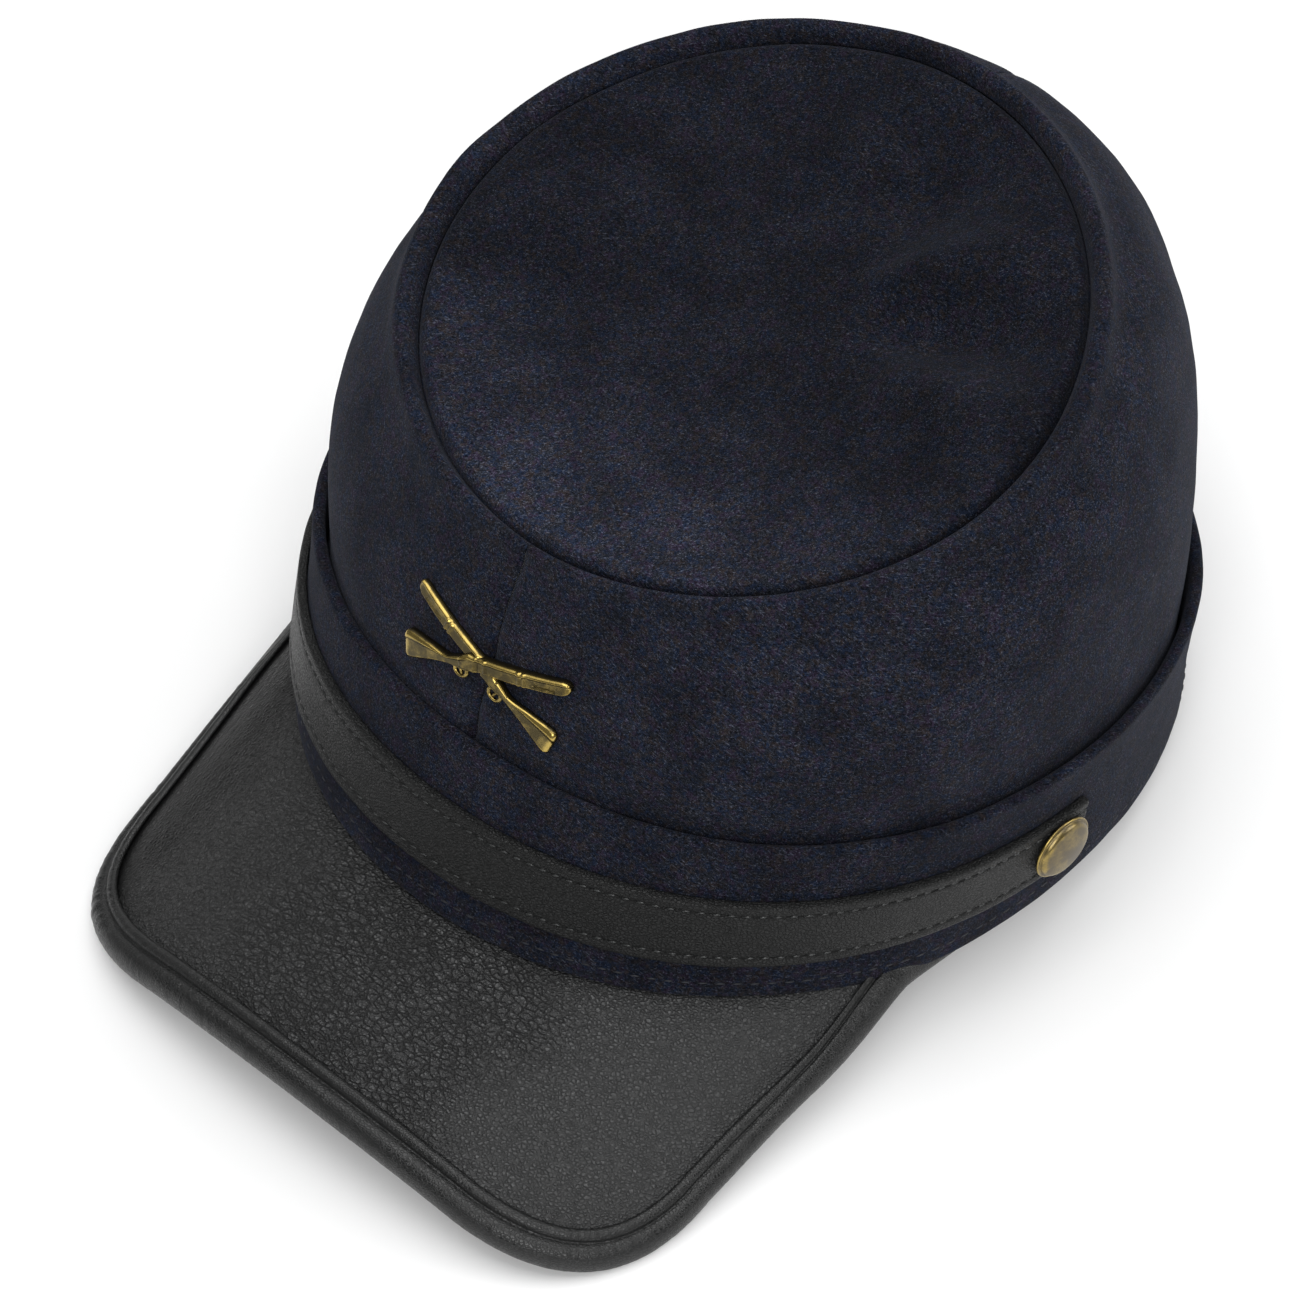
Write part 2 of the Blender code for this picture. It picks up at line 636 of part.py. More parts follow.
def make_badge(parts, cutters, material):
    """Two crossed long guns cast in one, with guards and a post, joined flat and then bent to the wall."""
    reach = GAP + CROWN_WALL + SHANK_END
    flat = to_object("badge", gun_bmesh(GUN_ANGLE, GUN_STEP), parts, material)
    boolean(flat, make_cutter("lower_gun", gun_bmesh(-GUN_ANGLE, 0.0), cutters), "UNION")
    boolean(flat, guard_object("upper_guard", GUN_ANGLE, cutters), "UNION")
    boolean(flat, guard_object("lower_guard", -GUN_ANGLE, cutters), "UNION")
    boolean(flat, make_cutter("badge_post", post_bmesh(POST_RADIUS, -reach, 0.5 * GUN_RELIEF), cutters), "UNION")
    bpy.context.view_layer.update()
    joined = bpy.data.meshes.new_from_object(flat.evaluated_get(bpy.context.evaluated_depsgraph_get()))
    flat.modifiers.clear()
    flat.data = joined
    for vertex in joined.vertices:
        vertex.co = wall_bend(vertex.co)
    joined.set_sharp_from_angle(angle=math.radians(30.0))
    return flat


def make_post_cutter(cutters):
    """The hole for the badge's post, bent to the wall in the same way."""
    bm = post_bmesh(POST_RADIUS + GAP, -GAP - CROWN_WALL - SHANK_END - MM, MM)
    for vertex in bm.verts:
        vertex.co = wall_bend(vertex.co)
    return make_cutter("post_hole", bm, cutters)


def world_points(objects):
    """Every corner of the finished pieces."""
    bpy.context.view_layer.update()
    depsgraph = bpy.context.evaluated_depsgraph_get()
    points = []
    for obj in objects:
        shown = obj.evaluated_get(depsgraph)
        mesh = shown.to_mesh()
        points += [shown.matrix_world @ vertex.co for vertex in mesh.vertices]
        shown.to_mesh_clear()
    return points


def stand_on_ground(pieces, parts, cutters):
    """Tips the cap back until the rim's back and the peak's corners share the ground, under one empty."""
    points = world_points(pieces)
    rim_back = max(point.y for point in points if abs(point.z) < MERGE)
    lean = max(math.atan2(-point.z, rim_back - point.y) for point in points if point.z < -MM)
    turn = Matrix.Rotation(-lean, 4, "X")
    turned = [turn @ point for point in points]
    low = Vector([min(point[axis] for point in turned) for axis in range(3)])
    high = Vector([max(point[axis] for point in turned) for axis in range(3)])
    resting = bpy.data.objects.new("resting_frame", None)
    parts.objects.link(resting)
    resting.rotation_euler.x = -lean
    resting.location = (-(low.x + high.x) / 2.0, -(low.y + high.y) / 2.0, -low.z)
    for obj in [*pieces, *cutters.objects]:
        obj.parent = resting


def main():
    for obj in list(bpy.data.objects):
        bpy.data.objects.remove(obj, do_unlink=True)
    parts = bpy.data.collections.new("military_cap")
    cutters = bpy.data.collections.new("cutters")
    bpy.context.scene.collection.children.link(parts)
    bpy.context.scene.collection.children.link(cutters)
    wool = make_material("wool", (0.018, 0.020, 0.032), 0.95)
    top_wool = make_material("top_wool", (0.020, 0.022, 0.034), 0.95)
    band_wool = make_material("band_wool", (0.018, 0.019, 0.030), 0.95)
    peak_leather = make_material("peak_leather", (0.016, 0.018, 0.019), 0.45)
    edge_leather = make_material("edge_leather", (0.020, 0.021, 0.021), 0.50)
    strap_leather = make_material("strap_leather", (0.015, 0.017, 0.017), 0.50)
    button_brass = make_material("button_brass", (0.33, 0.26, 0.13), 0.32, 1.0)
    badge_brass = make_material("badge_brass", (0.36, 0.28, 0.12), 0.30, 1.0)

    left = make_crown_side("crown_side_left", -math.pi / 2.0, parts, wool)
    right = make_crown_side("crown_side_right", math.pi / 2.0, parts, wool)
    top = make_crown_top(parts, top_wool)
    band = make_band(parts, band_wool)
    stations = peak_stations()
    peak = make_peak(stations, parts, peak_leather)
    binding = make_binding(stations, parts, cutters, edge_leather)
    strap = make_strap(parts, strap_leather)
    buttons = []
    for name, side, panel in (("left", 1, left), ("right", -1, right)):
        matrix = button_frame(side)
        buttons.append(make_button("button_" + name, matrix, parts, button_brass))
        hole = make_shank_cutter("shank_hole_" + name, matrix, cutters)
        for pierced in (strap, band, panel):
            boolean(pierced, hole, "DIFFERENCE")
    badge = make_badge(parts, cutters, badge_brass)
    post_hole = make_post_cutter(cutters)
    for panel in (left, right):
        boolean(panel, post_hole, "DIFFERENCE")
    stand_on_ground([left, right, top, band, peak, binding, strap, *buttons, badge], parts, cutters)


main()
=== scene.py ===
# %% [markdown]
# # A wool forage cap with a leather peak
#
# The cap is a small thing made of very different stuffs: thick felted wool, thin embossed leather, and cast
# and stamped brass.  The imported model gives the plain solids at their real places.  This lesson rebuilds each
# of them as a fine surface along the same curves, and gives each stuff its own finish.  It starts from the
# frame, because every size and place below is read from it or repeated from it.

# %% Load the frame
import json
import math
from collections import namedtuple

import bmesh
import bpy
from mathutils import Euler, Matrix, Vector, noise


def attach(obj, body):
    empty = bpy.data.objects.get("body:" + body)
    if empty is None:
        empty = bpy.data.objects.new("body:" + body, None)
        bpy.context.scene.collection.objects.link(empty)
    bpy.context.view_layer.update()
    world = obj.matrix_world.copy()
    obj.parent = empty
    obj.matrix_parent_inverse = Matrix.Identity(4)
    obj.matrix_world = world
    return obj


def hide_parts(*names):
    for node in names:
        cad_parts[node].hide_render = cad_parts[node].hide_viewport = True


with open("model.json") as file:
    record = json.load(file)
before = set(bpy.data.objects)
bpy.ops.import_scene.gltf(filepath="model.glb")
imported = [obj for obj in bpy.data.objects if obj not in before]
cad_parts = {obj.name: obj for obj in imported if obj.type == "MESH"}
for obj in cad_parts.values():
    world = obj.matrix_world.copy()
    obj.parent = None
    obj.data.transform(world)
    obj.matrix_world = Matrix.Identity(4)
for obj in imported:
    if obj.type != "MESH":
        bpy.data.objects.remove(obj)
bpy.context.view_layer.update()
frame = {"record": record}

MM = 0.001

# %% [markdown]
# ## How the cap lies
#
# Every piece is easier to shape in the cap's own frame, where the rim is the plane z = 0 and the front looks
# along -Y.  Empty, the cap tips back until its peak's corners touch the ground.  The frame's one mount says
# where the rim went, so the turn is read from there, and each finished mesh is moved by it once.

# %% The resting place
rim = frame["record"]["mounts"][0]
rim_turn = Vector((0.0, 0.0, -1.0)).rotation_difference(Vector(rim["axis"])).to_matrix().to_4x4()
REST = Matrix.Translation((0.0, rim["pos_m"][1], rim["pos_m"][2])) @ rim_turn
print("lean in degrees:", round(math.degrees(rim_turn.to_euler().x), 2))

# %% [markdown]
# ## The camera comes first
#
# The picture was taken from above the cap's front left with a long lens.  Its azimuth, height, roll, distance
# and aim were found by matching seam lines and outline, and are given in the cap's own frame.  A camera looks
# along its own -Z, so its matrix is just the right, up and back directions, turned into the resting frame.

# %% Camera
CAMERA_AZIMUTH = math.radians(40.85)
CAMERA_HEIGHT = math.radians(44.33)
CAMERA_ROLL = math.radians(2.17)
CAMERA_DISTANCE = 999.9 * MM
CAMERA_AIM = (20.54 * MM, -2.94 * MM)
CAMERA_LENS = 127.1


def add_camera():
    """The photograph's camera, turned with the cap into the resting frame."""
    flat = math.cos(CAMERA_HEIGHT)
    back = Vector((math.sin(CAMERA_AZIMUTH) * flat, -math.cos(CAMERA_AZIMUTH) * flat, math.sin(CAMERA_HEIGHT)))
    level = Vector((math.cos(CAMERA_AZIMUTH), math.sin(CAMERA_AZIMUTH), 0.0))
    upright = back.cross(level)
    right = level * math.cos(CAMERA_ROLL) + upright * math.sin(CAMERA_ROLL)
    up = upright * math.cos(CAMERA_ROLL) - level * math.sin(CAMERA_ROLL)
    place = Matrix((right, up, back)).transposed().to_4x4()
    place.translation = back * CAMERA_DISTANCE - right * CAMERA_AIM[0] - up * CAMERA_AIM[1]
    camera = bpy.data.objects.new("camera", bpy.data.cameras.new("camera"))
    bpy.context.scene.collection.objects.link(camera)
    camera.matrix_world = REST @ place
    camera.data.sensor_width = 36.0
    camera.data.lens = CAMERA_LENS
    camera.data.clip_start = 0.05
    bpy.context.scene.camera = camera
    return camera


camera = add_camera()
print("camera at", [round(c, 3) for c in camera.matrix_world.translation])

# %% [markdown]
# ## A pale floor and soft light
#
# Dark wool shows its form only through broad, soft light.  A large lamp overhead lights the top and lays a wide
# gloss on the peak, three lamps behind rim the outline, and one at the camera's right fills the front.  A small
# one high over the peak draws its grain.  None stands low at the left, so the peak's left stays dark, as in
# the photograph.  A pale sky lifts the shadows.
# The floor is plain and nearly white, and the plain standard view keeps it so, where a film-like view would
# turn it grey.

# %% Floor, lamps and sky
FLOOR_SIZE = 6.0


def add_floor():
    bm = bmesh.new()
    bmesh.ops.create_grid(bm, x_segments=1, y_segments=1, size=FLOOR_SIZE / 2.0)
    mesh = bpy.data.meshes.new("floor")
    bm.to_mesh(mesh)
    bm.free()
    floor = bpy.data.objects.new("floor", mesh)
    bpy.context.scene.collection.objects.link(floor)
    material = bpy.data.materials.new("pale_floor")
    material.use_nodes = True
    shader = material.node_tree.nodes["Principled BSDF"]
    shader.inputs["Base Color"].default_value = (0.94, 0.94, 0.94, 1.0)
    shader.inputs["Roughness"].default_value = 0.85
    mesh.materials.append(material)
    return floor


def add_lamp(name, place, aim, size, power, colour=(1.0, 1.0, 1.0)):
    """A square soft lamp that looks from place towards aim."""
    lamp = bpy.data.lights.new(name, "AREA")
    lamp.shape = "SQUARE"
    lamp.size = size
    lamp.energy = power
    lamp.color = colour
    obj = bpy.data.objects.new(name, lamp)
    bpy.context.scene.collection.objects.link(obj)
    obj.location = place
    obj.rotation_euler = (Vector(aim) - Vector(place)).to_track_quat("-Z", "Y").to_euler()
    return obj


def add_sky(strength):
    world = bpy.data.worlds.new("pale_sky")
    bpy.context.scene.world = world
    world.use_nodes = True
    sky = world.node_tree.nodes["Background"]
    sky.inputs["Color"].default_value = (1.0, 1.0, 1.0, 1.0)
    sky.inputs["Strength"].default_value = strength


add_floor()
add_lamp("top_softbox", (-0.05, 0.10, 1.45), (0.0, 0.0, 0.06), 1.3, 12.5)
add_lamp("back_softbox", (0.10, 1.40, 0.90), (0.0, 0.0, 0.06), 1.0, 2.5)
add_lamp("left_softbox", (-1.00, 1.00, 0.90), (0.0, 0.0, 0.06), 0.9, 2.5)
add_lamp("right_softbox", (1.00, 1.00, 0.80), (0.0, 0.0, 0.06), 0.9, 9.0)
add_lamp("front_softbox", (0.80, -0.90, 1.00), (0.0, 0.0, 0.06), 0.9, 11.5)
add_lamp("peak_softbox", (-0.75, -0.15, 1.20), (0.0, 0.0, 0.06), 0.7, 2.0)
add_sky(0.22)
bpy.context.scene.view_settings.view_transform = "Standard"
print("lamps:", [o.name for o in bpy.data.objects if o.type == "LIGHT"])

# %% [markdown]
# ## The cap's own curves
#
# A cap is cut round the head, so its sections are ovals: the rim, the band's upper edge, the widest part of
# the crown, and the smaller, tipped oval of the top.  The sizes are those of the solids.  Each surface below
# is a blend of these four ovals, which is why the finer pieces fit the frame without any measuring.

# %% Sections
GAP = 0.3 * MM
Section = namedtuple("Section", "half_width half_length setback height slope narrowing square")
BAND_SLOPE = math.asin(1.5 / 88.9)
RIM = Section(91.3 * MM, 99.7 * MM, 0.0, 0.0, 0.0, 0.0, 0.02)
BAND_TOP = Section(93.3 * MM, 88.9 * MM, 2.3 * MM, 39.1 * MM, BAND_SLOPE, 0.0, 0.03)
MID = Section(86.7 * MM, 87.2 * MM, 5.5 * MM, 77.1 * MM, math.radians(13.0), -0.10, 0.02)
TOP = Section(70.5 * MM, 68.5 * MM, -3.5 * MM, 104.6 * MM, math.radians(18.5), -0.04, -0.01)
BAND_WALL = 2.8 * MM
CROWN_WALL = 1.8 * MM
FRONT = -math.pi / 2.0


def on_section(section, theta, outward=0.0, up=0.0, share=1.0):
    """A point of a section's oval, moved outward and up from its tipped plane and drawn in by a share."""
    swell = 1.0 + section.square * (1.0 - math.cos(4.0 * theta)) / 2.0
    x = (section.half_width + outward) * math.cos(theta) * (1.0 + section.narrowing * math.sin(theta)) * swell
    y = (section.half_length + outward) * math.sin(theta) * swell
    flat, rise = math.cos(section.slope), math.sin(section.slope)
    return Vector(
        (x * share, section.setback + y * share * flat - up * rise, section.height + y * share * rise + up * flat)
    )


def band_place(theta, height, outward=0.0):
    """A point on the band's outer face at that height, or off it by outward."""
    share = height / BAND_TOP.height
    return on_section(RIM, theta, outward).lerp(on_section(BAND_TOP, theta, outward), share)


def wall_place(theta, rise):
    """A point on the crown's outer face: rise is 0 at the band's upper edge and 1 at the ring's shoulder."""
    low = on_section(BAND_TOP, theta, -BAND_WALL - GAP)
    middle = on_section(MID, theta)
    high = ring_place(theta, *RING_PROFILE[0])
    return low * (1.0 - rise) * (1.0 - 2.0 * rise) + middle * 4.0 * rise * (1.0 - rise) + high * rise * (
        2.0 * rise - 1.0
    )


def outward_normal(place, theta, along, step):
    """The outward normal of a face given by place(theta, along)."""
    turn = place(theta + 0.001, along) - place(theta - 0.001, along)
    climb = place(theta, along + step) - place(theta, along - step)
    return turn.cross(climb).normalized()


# %% [markdown]
# ## Two helpers for fine surfaces
#
# A sewn surface is a grid at heart: one way goes round the cap and the other way up it.  So each piece starts
# as a grid from `bmesh.ops.create_grid`, and every vertex is carried to its place on the curves.  The second
# helper puts the finished mesh in the resting frame, once and for all, and makes it ride with the cap.

# %% Grids and pieces
INSIDE = Vector((0.0, 5.0 * MM, 40.0 * MM))


def grid(columns, rows, place, round_columns=False, round_rows=False):
    """A bmesh of columns by rows points at place(column, row).  A round way closes on itself."""
    bm = bmesh.new()
    last_column = columns if round_columns else columns - 1
    last_row = rows if round_rows else rows - 1
    bmesh.ops.create_grid(bm, x_segments=last_column, y_segments=last_row, size=0.5)
    for vertex in bm.verts:
        column = round((vertex.co.x + 0.5) * last_column) % columns
        row = round((vertex.co.y + 0.5) * last_row) % rows
        vertex.co = place(column, row)
    bmesh.ops.remove_doubles(bm, verts=bm.verts, dist=0.001 * MM)
    return bm


def close(bm):
    """Caps open ends and turns the closed skin's faces outward."""
    edges = [edge for edge in bm.edges if edge.is_boundary]
    if edges:
        bmesh.ops.holes_fill(bm, edges=edges, sides=0)
    bmesh.ops.recalc_face_normals(bm, faces=bm.faces)
    return bm


def face_away(bm, point=INSIDE):
    """Turns an open sheet's faces away from a point inside the cap."""
    bm.normal_update()
    if sum(face.normal.dot(face.calc_center_median() - point) for face in bm.faces) < 0.0:
        bmesh.ops.reverse_faces(bm, faces=bm.faces)
    return bm


def seam_still(point):
    """0 at the seam round the top, where stitches hold the cloth, and 1 a few millimetres away from it."""
    flat, rise = math.cos(TOP.slope), math.sin(TOP.slope)
    along = (point.y - TOP.setback) * flat + (point.z - TOP.height) * rise
    radius = math.hypot(point.x / TOP.half_width, along / TOP.half_length)
    return min(abs(radius - 1.0) / 0.07, 1.0)


def soften(bm, size, height, seed):
    """Small even swells along the normals, as in anything sewn by hand, but none at the seam round the top."""
    bm.normal_update()
    shift = Vector((seed * 3.7, seed * 1.3, seed * 2.1))
    moves = []
    for vertex in bm.verts:
        swell = height * noise.noise(vertex.co / size + shift) * seam_still(vertex.co)
        moves.append(vertex.normal * swell)
    for vertex, move in zip(bm.verts, moves):
        vertex.co += move


def finish_piece(name, bm, material, nodes=(), wall=0.0):
    """Moves a shaped mesh to its resting place and makes it a piece that rides with the cap."""
    bmesh.ops.transform(bm, matrix=REST, verts=bm.verts)
    for vertex in bm.verts:
        vertex.co.z = max(vertex.co.z, 0.0)
    mesh = bpy.data.meshes.new(name)
    bm.to_mesh(mesh)
    bm.free()
    mesh.shade_smooth()
    mesh.materials.append(material)
    piece = bpy.data.objects.new(name, mesh)
    bpy.context.scene.collection.objects.link(piece)
    if wall:
        thickness = piece.modifiers.new("wall", "SOLIDIFY")
        thickness.thickness = wall
        thickness.offset = -1.0
    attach(piece, "root")
    if nodes:
        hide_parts(*nodes)
    print(name, len(mesh.polygons), "faces")
    return piece


# %% [markdown]
# ## Wool: dyed fibres of several colours
#
# Melton is milled until its weave disappears, so what shows is a mat of short fibres.  The cloth looks navy
# from far away, but close up its yarns were spun from blue, slate, violet and brown wool, which leaves soft
# patches a few millimetres across, with single pale hairs on top.  Broad noise picks the patch colours, fine
# noise gives the fibres' own light and dark, and three sets of stretched noise, each turned another way,
# stand for the hairs.  The colour also fades from front to back as painted light and shade, most of all on the
# top, which is painted lighter at its front and darker at its back.  A little sheen gives the pale bloom that
# wool has where it turns away.

# %% Material helpers
def new_tree(name):
    """A fresh material: its node tree, its shader and its object coordinates."""
    material = bpy.data.materials.new(name)
    material.use_nodes = True
    tree = material.node_tree
    coords = tree.nodes.new("ShaderNodeTexCoord").outputs["Object"]
    return material, tree, tree.nodes["Principled BSDF"], coords


def stretched(tree, coords, turn, size):
    """Coordinates turned by Euler angles and measured in cells of the given three sizes."""
    mapping = tree.nodes.new("ShaderNodeMapping")
    mapping.vector_type = "TEXTURE"
    mapping.inputs["Rotation"].default_value = Euler(turn)
    mapping.inputs["Scale"].default_value = size
    tree.links.new(coords, mapping.inputs["Vector"])
    return mapping.outputs["Vector"]


def noise_of(tree, vector, detail=2.0, roughness=0.5, distortion=0.0):
    """Noise with cells one unit across."""
    node = tree.nodes.new("ShaderNodeTexNoise")
    node.inputs["Scale"].default_value = 1.0
    node.inputs["Detail"].default_value = detail
    node.inputs["Roughness"].default_value = roughness
    node.inputs["Distortion"].default_value = distortion
    tree.links.new(vector, node.inputs["Vector"])
    return node.outputs["Fac"]


def ramp(tree, value, low, high, start=0.0, end=1.0):
    """Maps low..high of a value to start..end, smoothly and clamped."""
    node = tree.nodes.new("ShaderNodeMapRange")
    node.interpolation_type = "SMOOTHSTEP"
    node.inputs["From Min"].default_value = low
    node.inputs["From Max"].default_value = high
    node.inputs["To Min"].default_value = start
    node.inputs["To Max"].default_value = end
    tree.links.new(value, node.inputs["Value"])
    return node.outputs["Result"]


def maths(tree, operation, first, second):
    """One Math node; either side may be a socket or a number."""
    node = tree.nodes.new("ShaderNodeMath")
    node.operation = operation
    for socket, value in zip(node.inputs, (first, second)):
        if isinstance(value, (int, float)):
            socket.default_value = value
        else:
            tree.links.new(value, socket)
    return node.outputs["Value"]


def blend(tree, amount, first, second):
    """Mixes two colours; each may be a socket or three numbers."""
    node = tree.nodes.new("ShaderNodeMix")
    node.data_type = "RGBA"
    for socket, value in ((node.inputs["A"], first), (node.inputs["B"], second)):
        if isinstance(value, tuple):
            socket.default_value = (*value, 1.0)
        else:
            tree.links.new(value, socket)
    tree.links.new(amount, node.inputs["Factor"])
    return node.outputs["Result"]


def bump(tree, shader, height, strength, distance, below=None):
    """A bump node on the shader, over an earlier one if there is one."""
    node = tree.nodes.new("ShaderNodeBump")
    node.inputs["Strength"].default_value = strength
    node.inputs["Distance"].default_value = distance
    tree.links.new(height, node.inputs["Height"])
    if below:
        tree.links.new(below, node.inputs["Normal"])
    tree.links.new(node.outputs["Normal"], shader.inputs["Normal"])
    return node.outputs["Normal"]


# %% Melton wool
SLATE = (0.0130, 0.0148, 0.0205)
BLUE = (0.0088, 0.0150, 0.0330)
BROWN = (0.0225, 0.0180, 0.0188)
VIOLET = (0.0205, 0.0150, 0.0290)
PALE_HAIR = (0.0760, 0.0840, 0.1120)
DARK_HAIR = (0.0020, 0.0024, 0.0038)
PATCH_SIZE = 1.9 * MM
FIBRE_SIZE = 0.60 * MM
HAIR_SIZE = (1.5 * MM, 0.26 * MM, 0.26 * MM)
HAIR_TURNS = ((0.3, 0.5, 0.2), (1.1, 0.2, 0.9), (0.4, 1.2, 2.1))


def wool(name, tone_and_light_front, tone_and_shade_back):
    """Milled wool: patches of four dyed colours under pale and dark hairs, painted light at the front and painted
    shade at the back.
    """
    material, tree, shader, coords = new_tree(name)
    cool = noise_of(tree, stretched(tree, coords, (0.4, 0.9, 0.2), (PATCH_SIZE,) * 3), 4.0, 0.7)
    warm = noise_of(tree, stretched(tree, coords, (1.3, 0.2, 0.7), (PATCH_SIZE,) * 3), 4.0, 0.7)
    pink = noise_of(tree, stretched(tree, coords, (0.1, 0.7, 1.9), (PATCH_SIZE * 1.3,) * 3), 4.0, 0.7)
    cloud = noise_of(tree, stretched(tree, coords, (0.2, 0.1, 0.4), (13.0 * MM,) * 3), 3.0)
    fibre = noise_of(tree, stretched(tree, coords, (0.9, 0.1, 0.5), (FIBRE_SIZE,) * 3), 3.0, 0.8)
    hairs = [noise_of(tree, stretched(tree, coords, turn, HAIR_SIZE), 1.0) for turn in HAIR_TURNS]
    lit = maths(tree, "MAXIMUM", maths(tree, "MAXIMUM", hairs[0], hairs[1]), hairs[2])
    unlit = maths(tree, "MINIMUM", maths(tree, "MINIMUM", hairs[0], hairs[1]), hairs[2])
    ground = blend(tree, ramp(tree, cool, 0.42, 0.60), SLATE, BLUE)
    ground = blend(tree, ramp(tree, warm, 0.48, 0.62), ground, BROWN)
    ground = blend(tree, ramp(tree, pink, 0.50, 0.64), ground, VIOLET)
    ground = blend(tree, ramp(tree, unlit, 0.42, 0.26, 0.0, 0.9), ground, DARK_HAIR)
    ground = blend(tree, ramp(tree, lit, 0.62, 0.78, 0.0, 0.8), ground, PALE_HAIR)
    shade = maths(tree, "MULTIPLY", ramp(tree, fibre, 0.30, 0.70, 0.42, 1.60), ramp(tree, cloud, 0.3, 0.7, 0.78, 1.20))
    split = tree.nodes.new("ShaderNodeSeparateXYZ")
    tree.links.new(coords, split.inputs[0])
    # Painted light and shade: the colour is scaled from the front's factor to the back's along Y.
    tone_and_painted_shade = ramp(tree, split.outputs["Y"], -55.0 * MM, 25.0 * MM, tone_and_light_front, tone_and_shade_back)
    scale = tree.nodes.new("ShaderNodeVectorMath")
    scale.operation = "SCALE"
    tree.links.new(ground, scale.inputs[0])
    tree.links.new(maths(tree, "MULTIPLY", shade, tone_and_painted_shade), scale.inputs["Scale"])
    tree.links.new(scale.outputs["Vector"], shader.inputs["Base Color"])
    shader.inputs["Roughness"].default_value = 0.95
    shader.inputs["Specular IOR Level"].default_value = 0.06
    shader.inputs["Sheen Weight"].default_value = 0.045
    shader.inputs["Sheen Roughness"].default_value = 0.45
    shader.inputs["Sheen Tint"].default_value = (0.68, 0.73, 0.88, 1.0)
    felt = bump(tree, shader, cool, 0.4, 0.2 * MM)
    bump(tree, shader, maths(tree, "ADD", fibre, lit), 0.8, 0.16 * MM, felt)
    return material


# Each wool's factors at front and back: the top is painted light at its front and painted shade at its back, the sides
# only a little, the band not at all.
side_wool = wool("melton_side", 0.80, 0.76)
top_wool = wool("melton_top", 1.50, 0.50)
band_wool = wool("melton_band", 0.70, 0.70)
print("wool:", len(side_wool.node_tree.nodes), "nodes")

# %% [markdown]
# ## The crown's two panels
#
# The wall is two panels of cloth that meet in a seam at the front and one at the back.  Along the top each
# panel rolls over into a soft ring and dives into the seam round the top.  A smooth curve through a few points
# gives one rib of the wall, and the grid repeats it round the head.  Thick wool has no sharp shoulder, so the
# rib is relaxed where it turns over, most of all in front, where the ring almost melts into the wall.

# %% Ribs of the wall
RING_WIDTH_SIDE = 6.4 * MM
RING_WIDTH_END = 4.5 * MM
RING_HEIGHT = 1.5 * MM
RING_DROP = 2.5 * MM
SEAM_TUCK = 3.0 * MM
RING_PROFILE = ((1.00, -1.00), (0.93, 0.25), (0.76, 1.00), (0.48, 1.00), (0.26, 0.30), (0.10, -0.55))


def ring_place(theta, out, up):
    """A point of the ring: out is its share of the ring's width, up its share of the height or drop."""
    side = math.cos(theta) ** 2
    width = RING_WIDTH_SIDE * side + RING_WIDTH_END * (1.0 - side)
    return on_section(TOP, theta, out * width, up * (RING_HEIGHT if up > 0.0 else RING_DROP))


def smooth_through(points, steps):
    """Points on a smooth curve through the given ones, with that many steps from each to the next."""
    gaps = [max((b - a).length, 1e-6) for a, b in zip(points, points[1:])]
    runs = [(b - a) / gap for a, b, gap in zip(points, points[1:], gaps)]
    slopes = [runs[0]]
    for i in range(1, len(runs)):
        slopes.append((runs[i - 1] * gaps[i] + runs[i] * gaps[i - 1]) / (gaps[i - 1] + gaps[i]))
    slopes.append(runs[-1])
    curve = []
    for i, count in enumerate(steps):
        for k in range(count):
            t = k / count
            curve.append(
                points[i] * (2 * t**3 - 3 * t**2 + 1)
                + slopes[i] * gaps[i] * (t**3 - 2 * t**2 + t)
                + points[i + 1] * (3 * t**2 - 2 * t**3)
                + slopes[i + 1] * gaps[i] * (t**3 - t**2)
            )
    curve.append(points[-1])
    return curve


def relax(points, first, last, times):
    """Evens out a stretch of a curve by drawing each point towards its neighbours."""
    for _ in range(times):
        moved = [(points[i - 1] + points[i] * 2.0 + points[i + 1]) / 4.0 for i in range(first, last)]
        points[first:last] = moved
    return points


WALL_RISES = (0.0, 0.08, 0.22, 0.38, 0.54, 0.70, 0.85)
WALL_PUFFS = (0.0, 0.0, 0.35, 0.80, 1.00, 0.95, 0.60)
SIDE_PUFF = 1.0 * MM        # how far the side walls swell out between the band and the ring
RIB_STEPS = (3, 5, 3, 5, 6, 6, 6, 6, 6, 3, 3, 3, 3, 3, 3)
SHOULDER = (38, 57)         # the stretch of the rib that turns over into the ring


def crown_rib(theta):
    """One rib from the hem inside the band up over the ring and down into the seam round the top."""
    inset = -BAND_WALL - GAP
    side = math.cos(theta) ** 2
    points = [on_section(RIM, theta, inset).lerp(on_section(BAND_TOP, theta, inset), share) for share in (0.02, 0.5)]
    for rise, puff in zip(WALL_RISES, WALL_PUFFS):
        normal = outward_normal(wall_place, theta, rise, 0.01)
        points.append(wall_place(theta, rise) + normal * (puff * side * SIDE_PUFF))
    points += [ring_place(theta, out, up) for out, up in RING_PROFILE]
    points.append(on_section(TOP, theta, 0.0, -SEAM_TUCK))
    return relax(smooth_through(points, RIB_STEPS), *SHOULDER, round(4 + 28 * max(0.0, -math.sin(theta)) ** 1.6))


print("points on a rib:", len(crown_rib(FRONT)))

# %% [markdown]
# ## Seams that lean and pucker
#
# The front seam isn't a plumb line: it leans a little to one side at the band and to the other at the ring, as
# a sewn seam does.  Beside it the stitches pull the cloth in, unevenly, and fine puckers run out from them.
# Both are small moves of the grid's vertices, along x for the lean and along the normals for the pull.

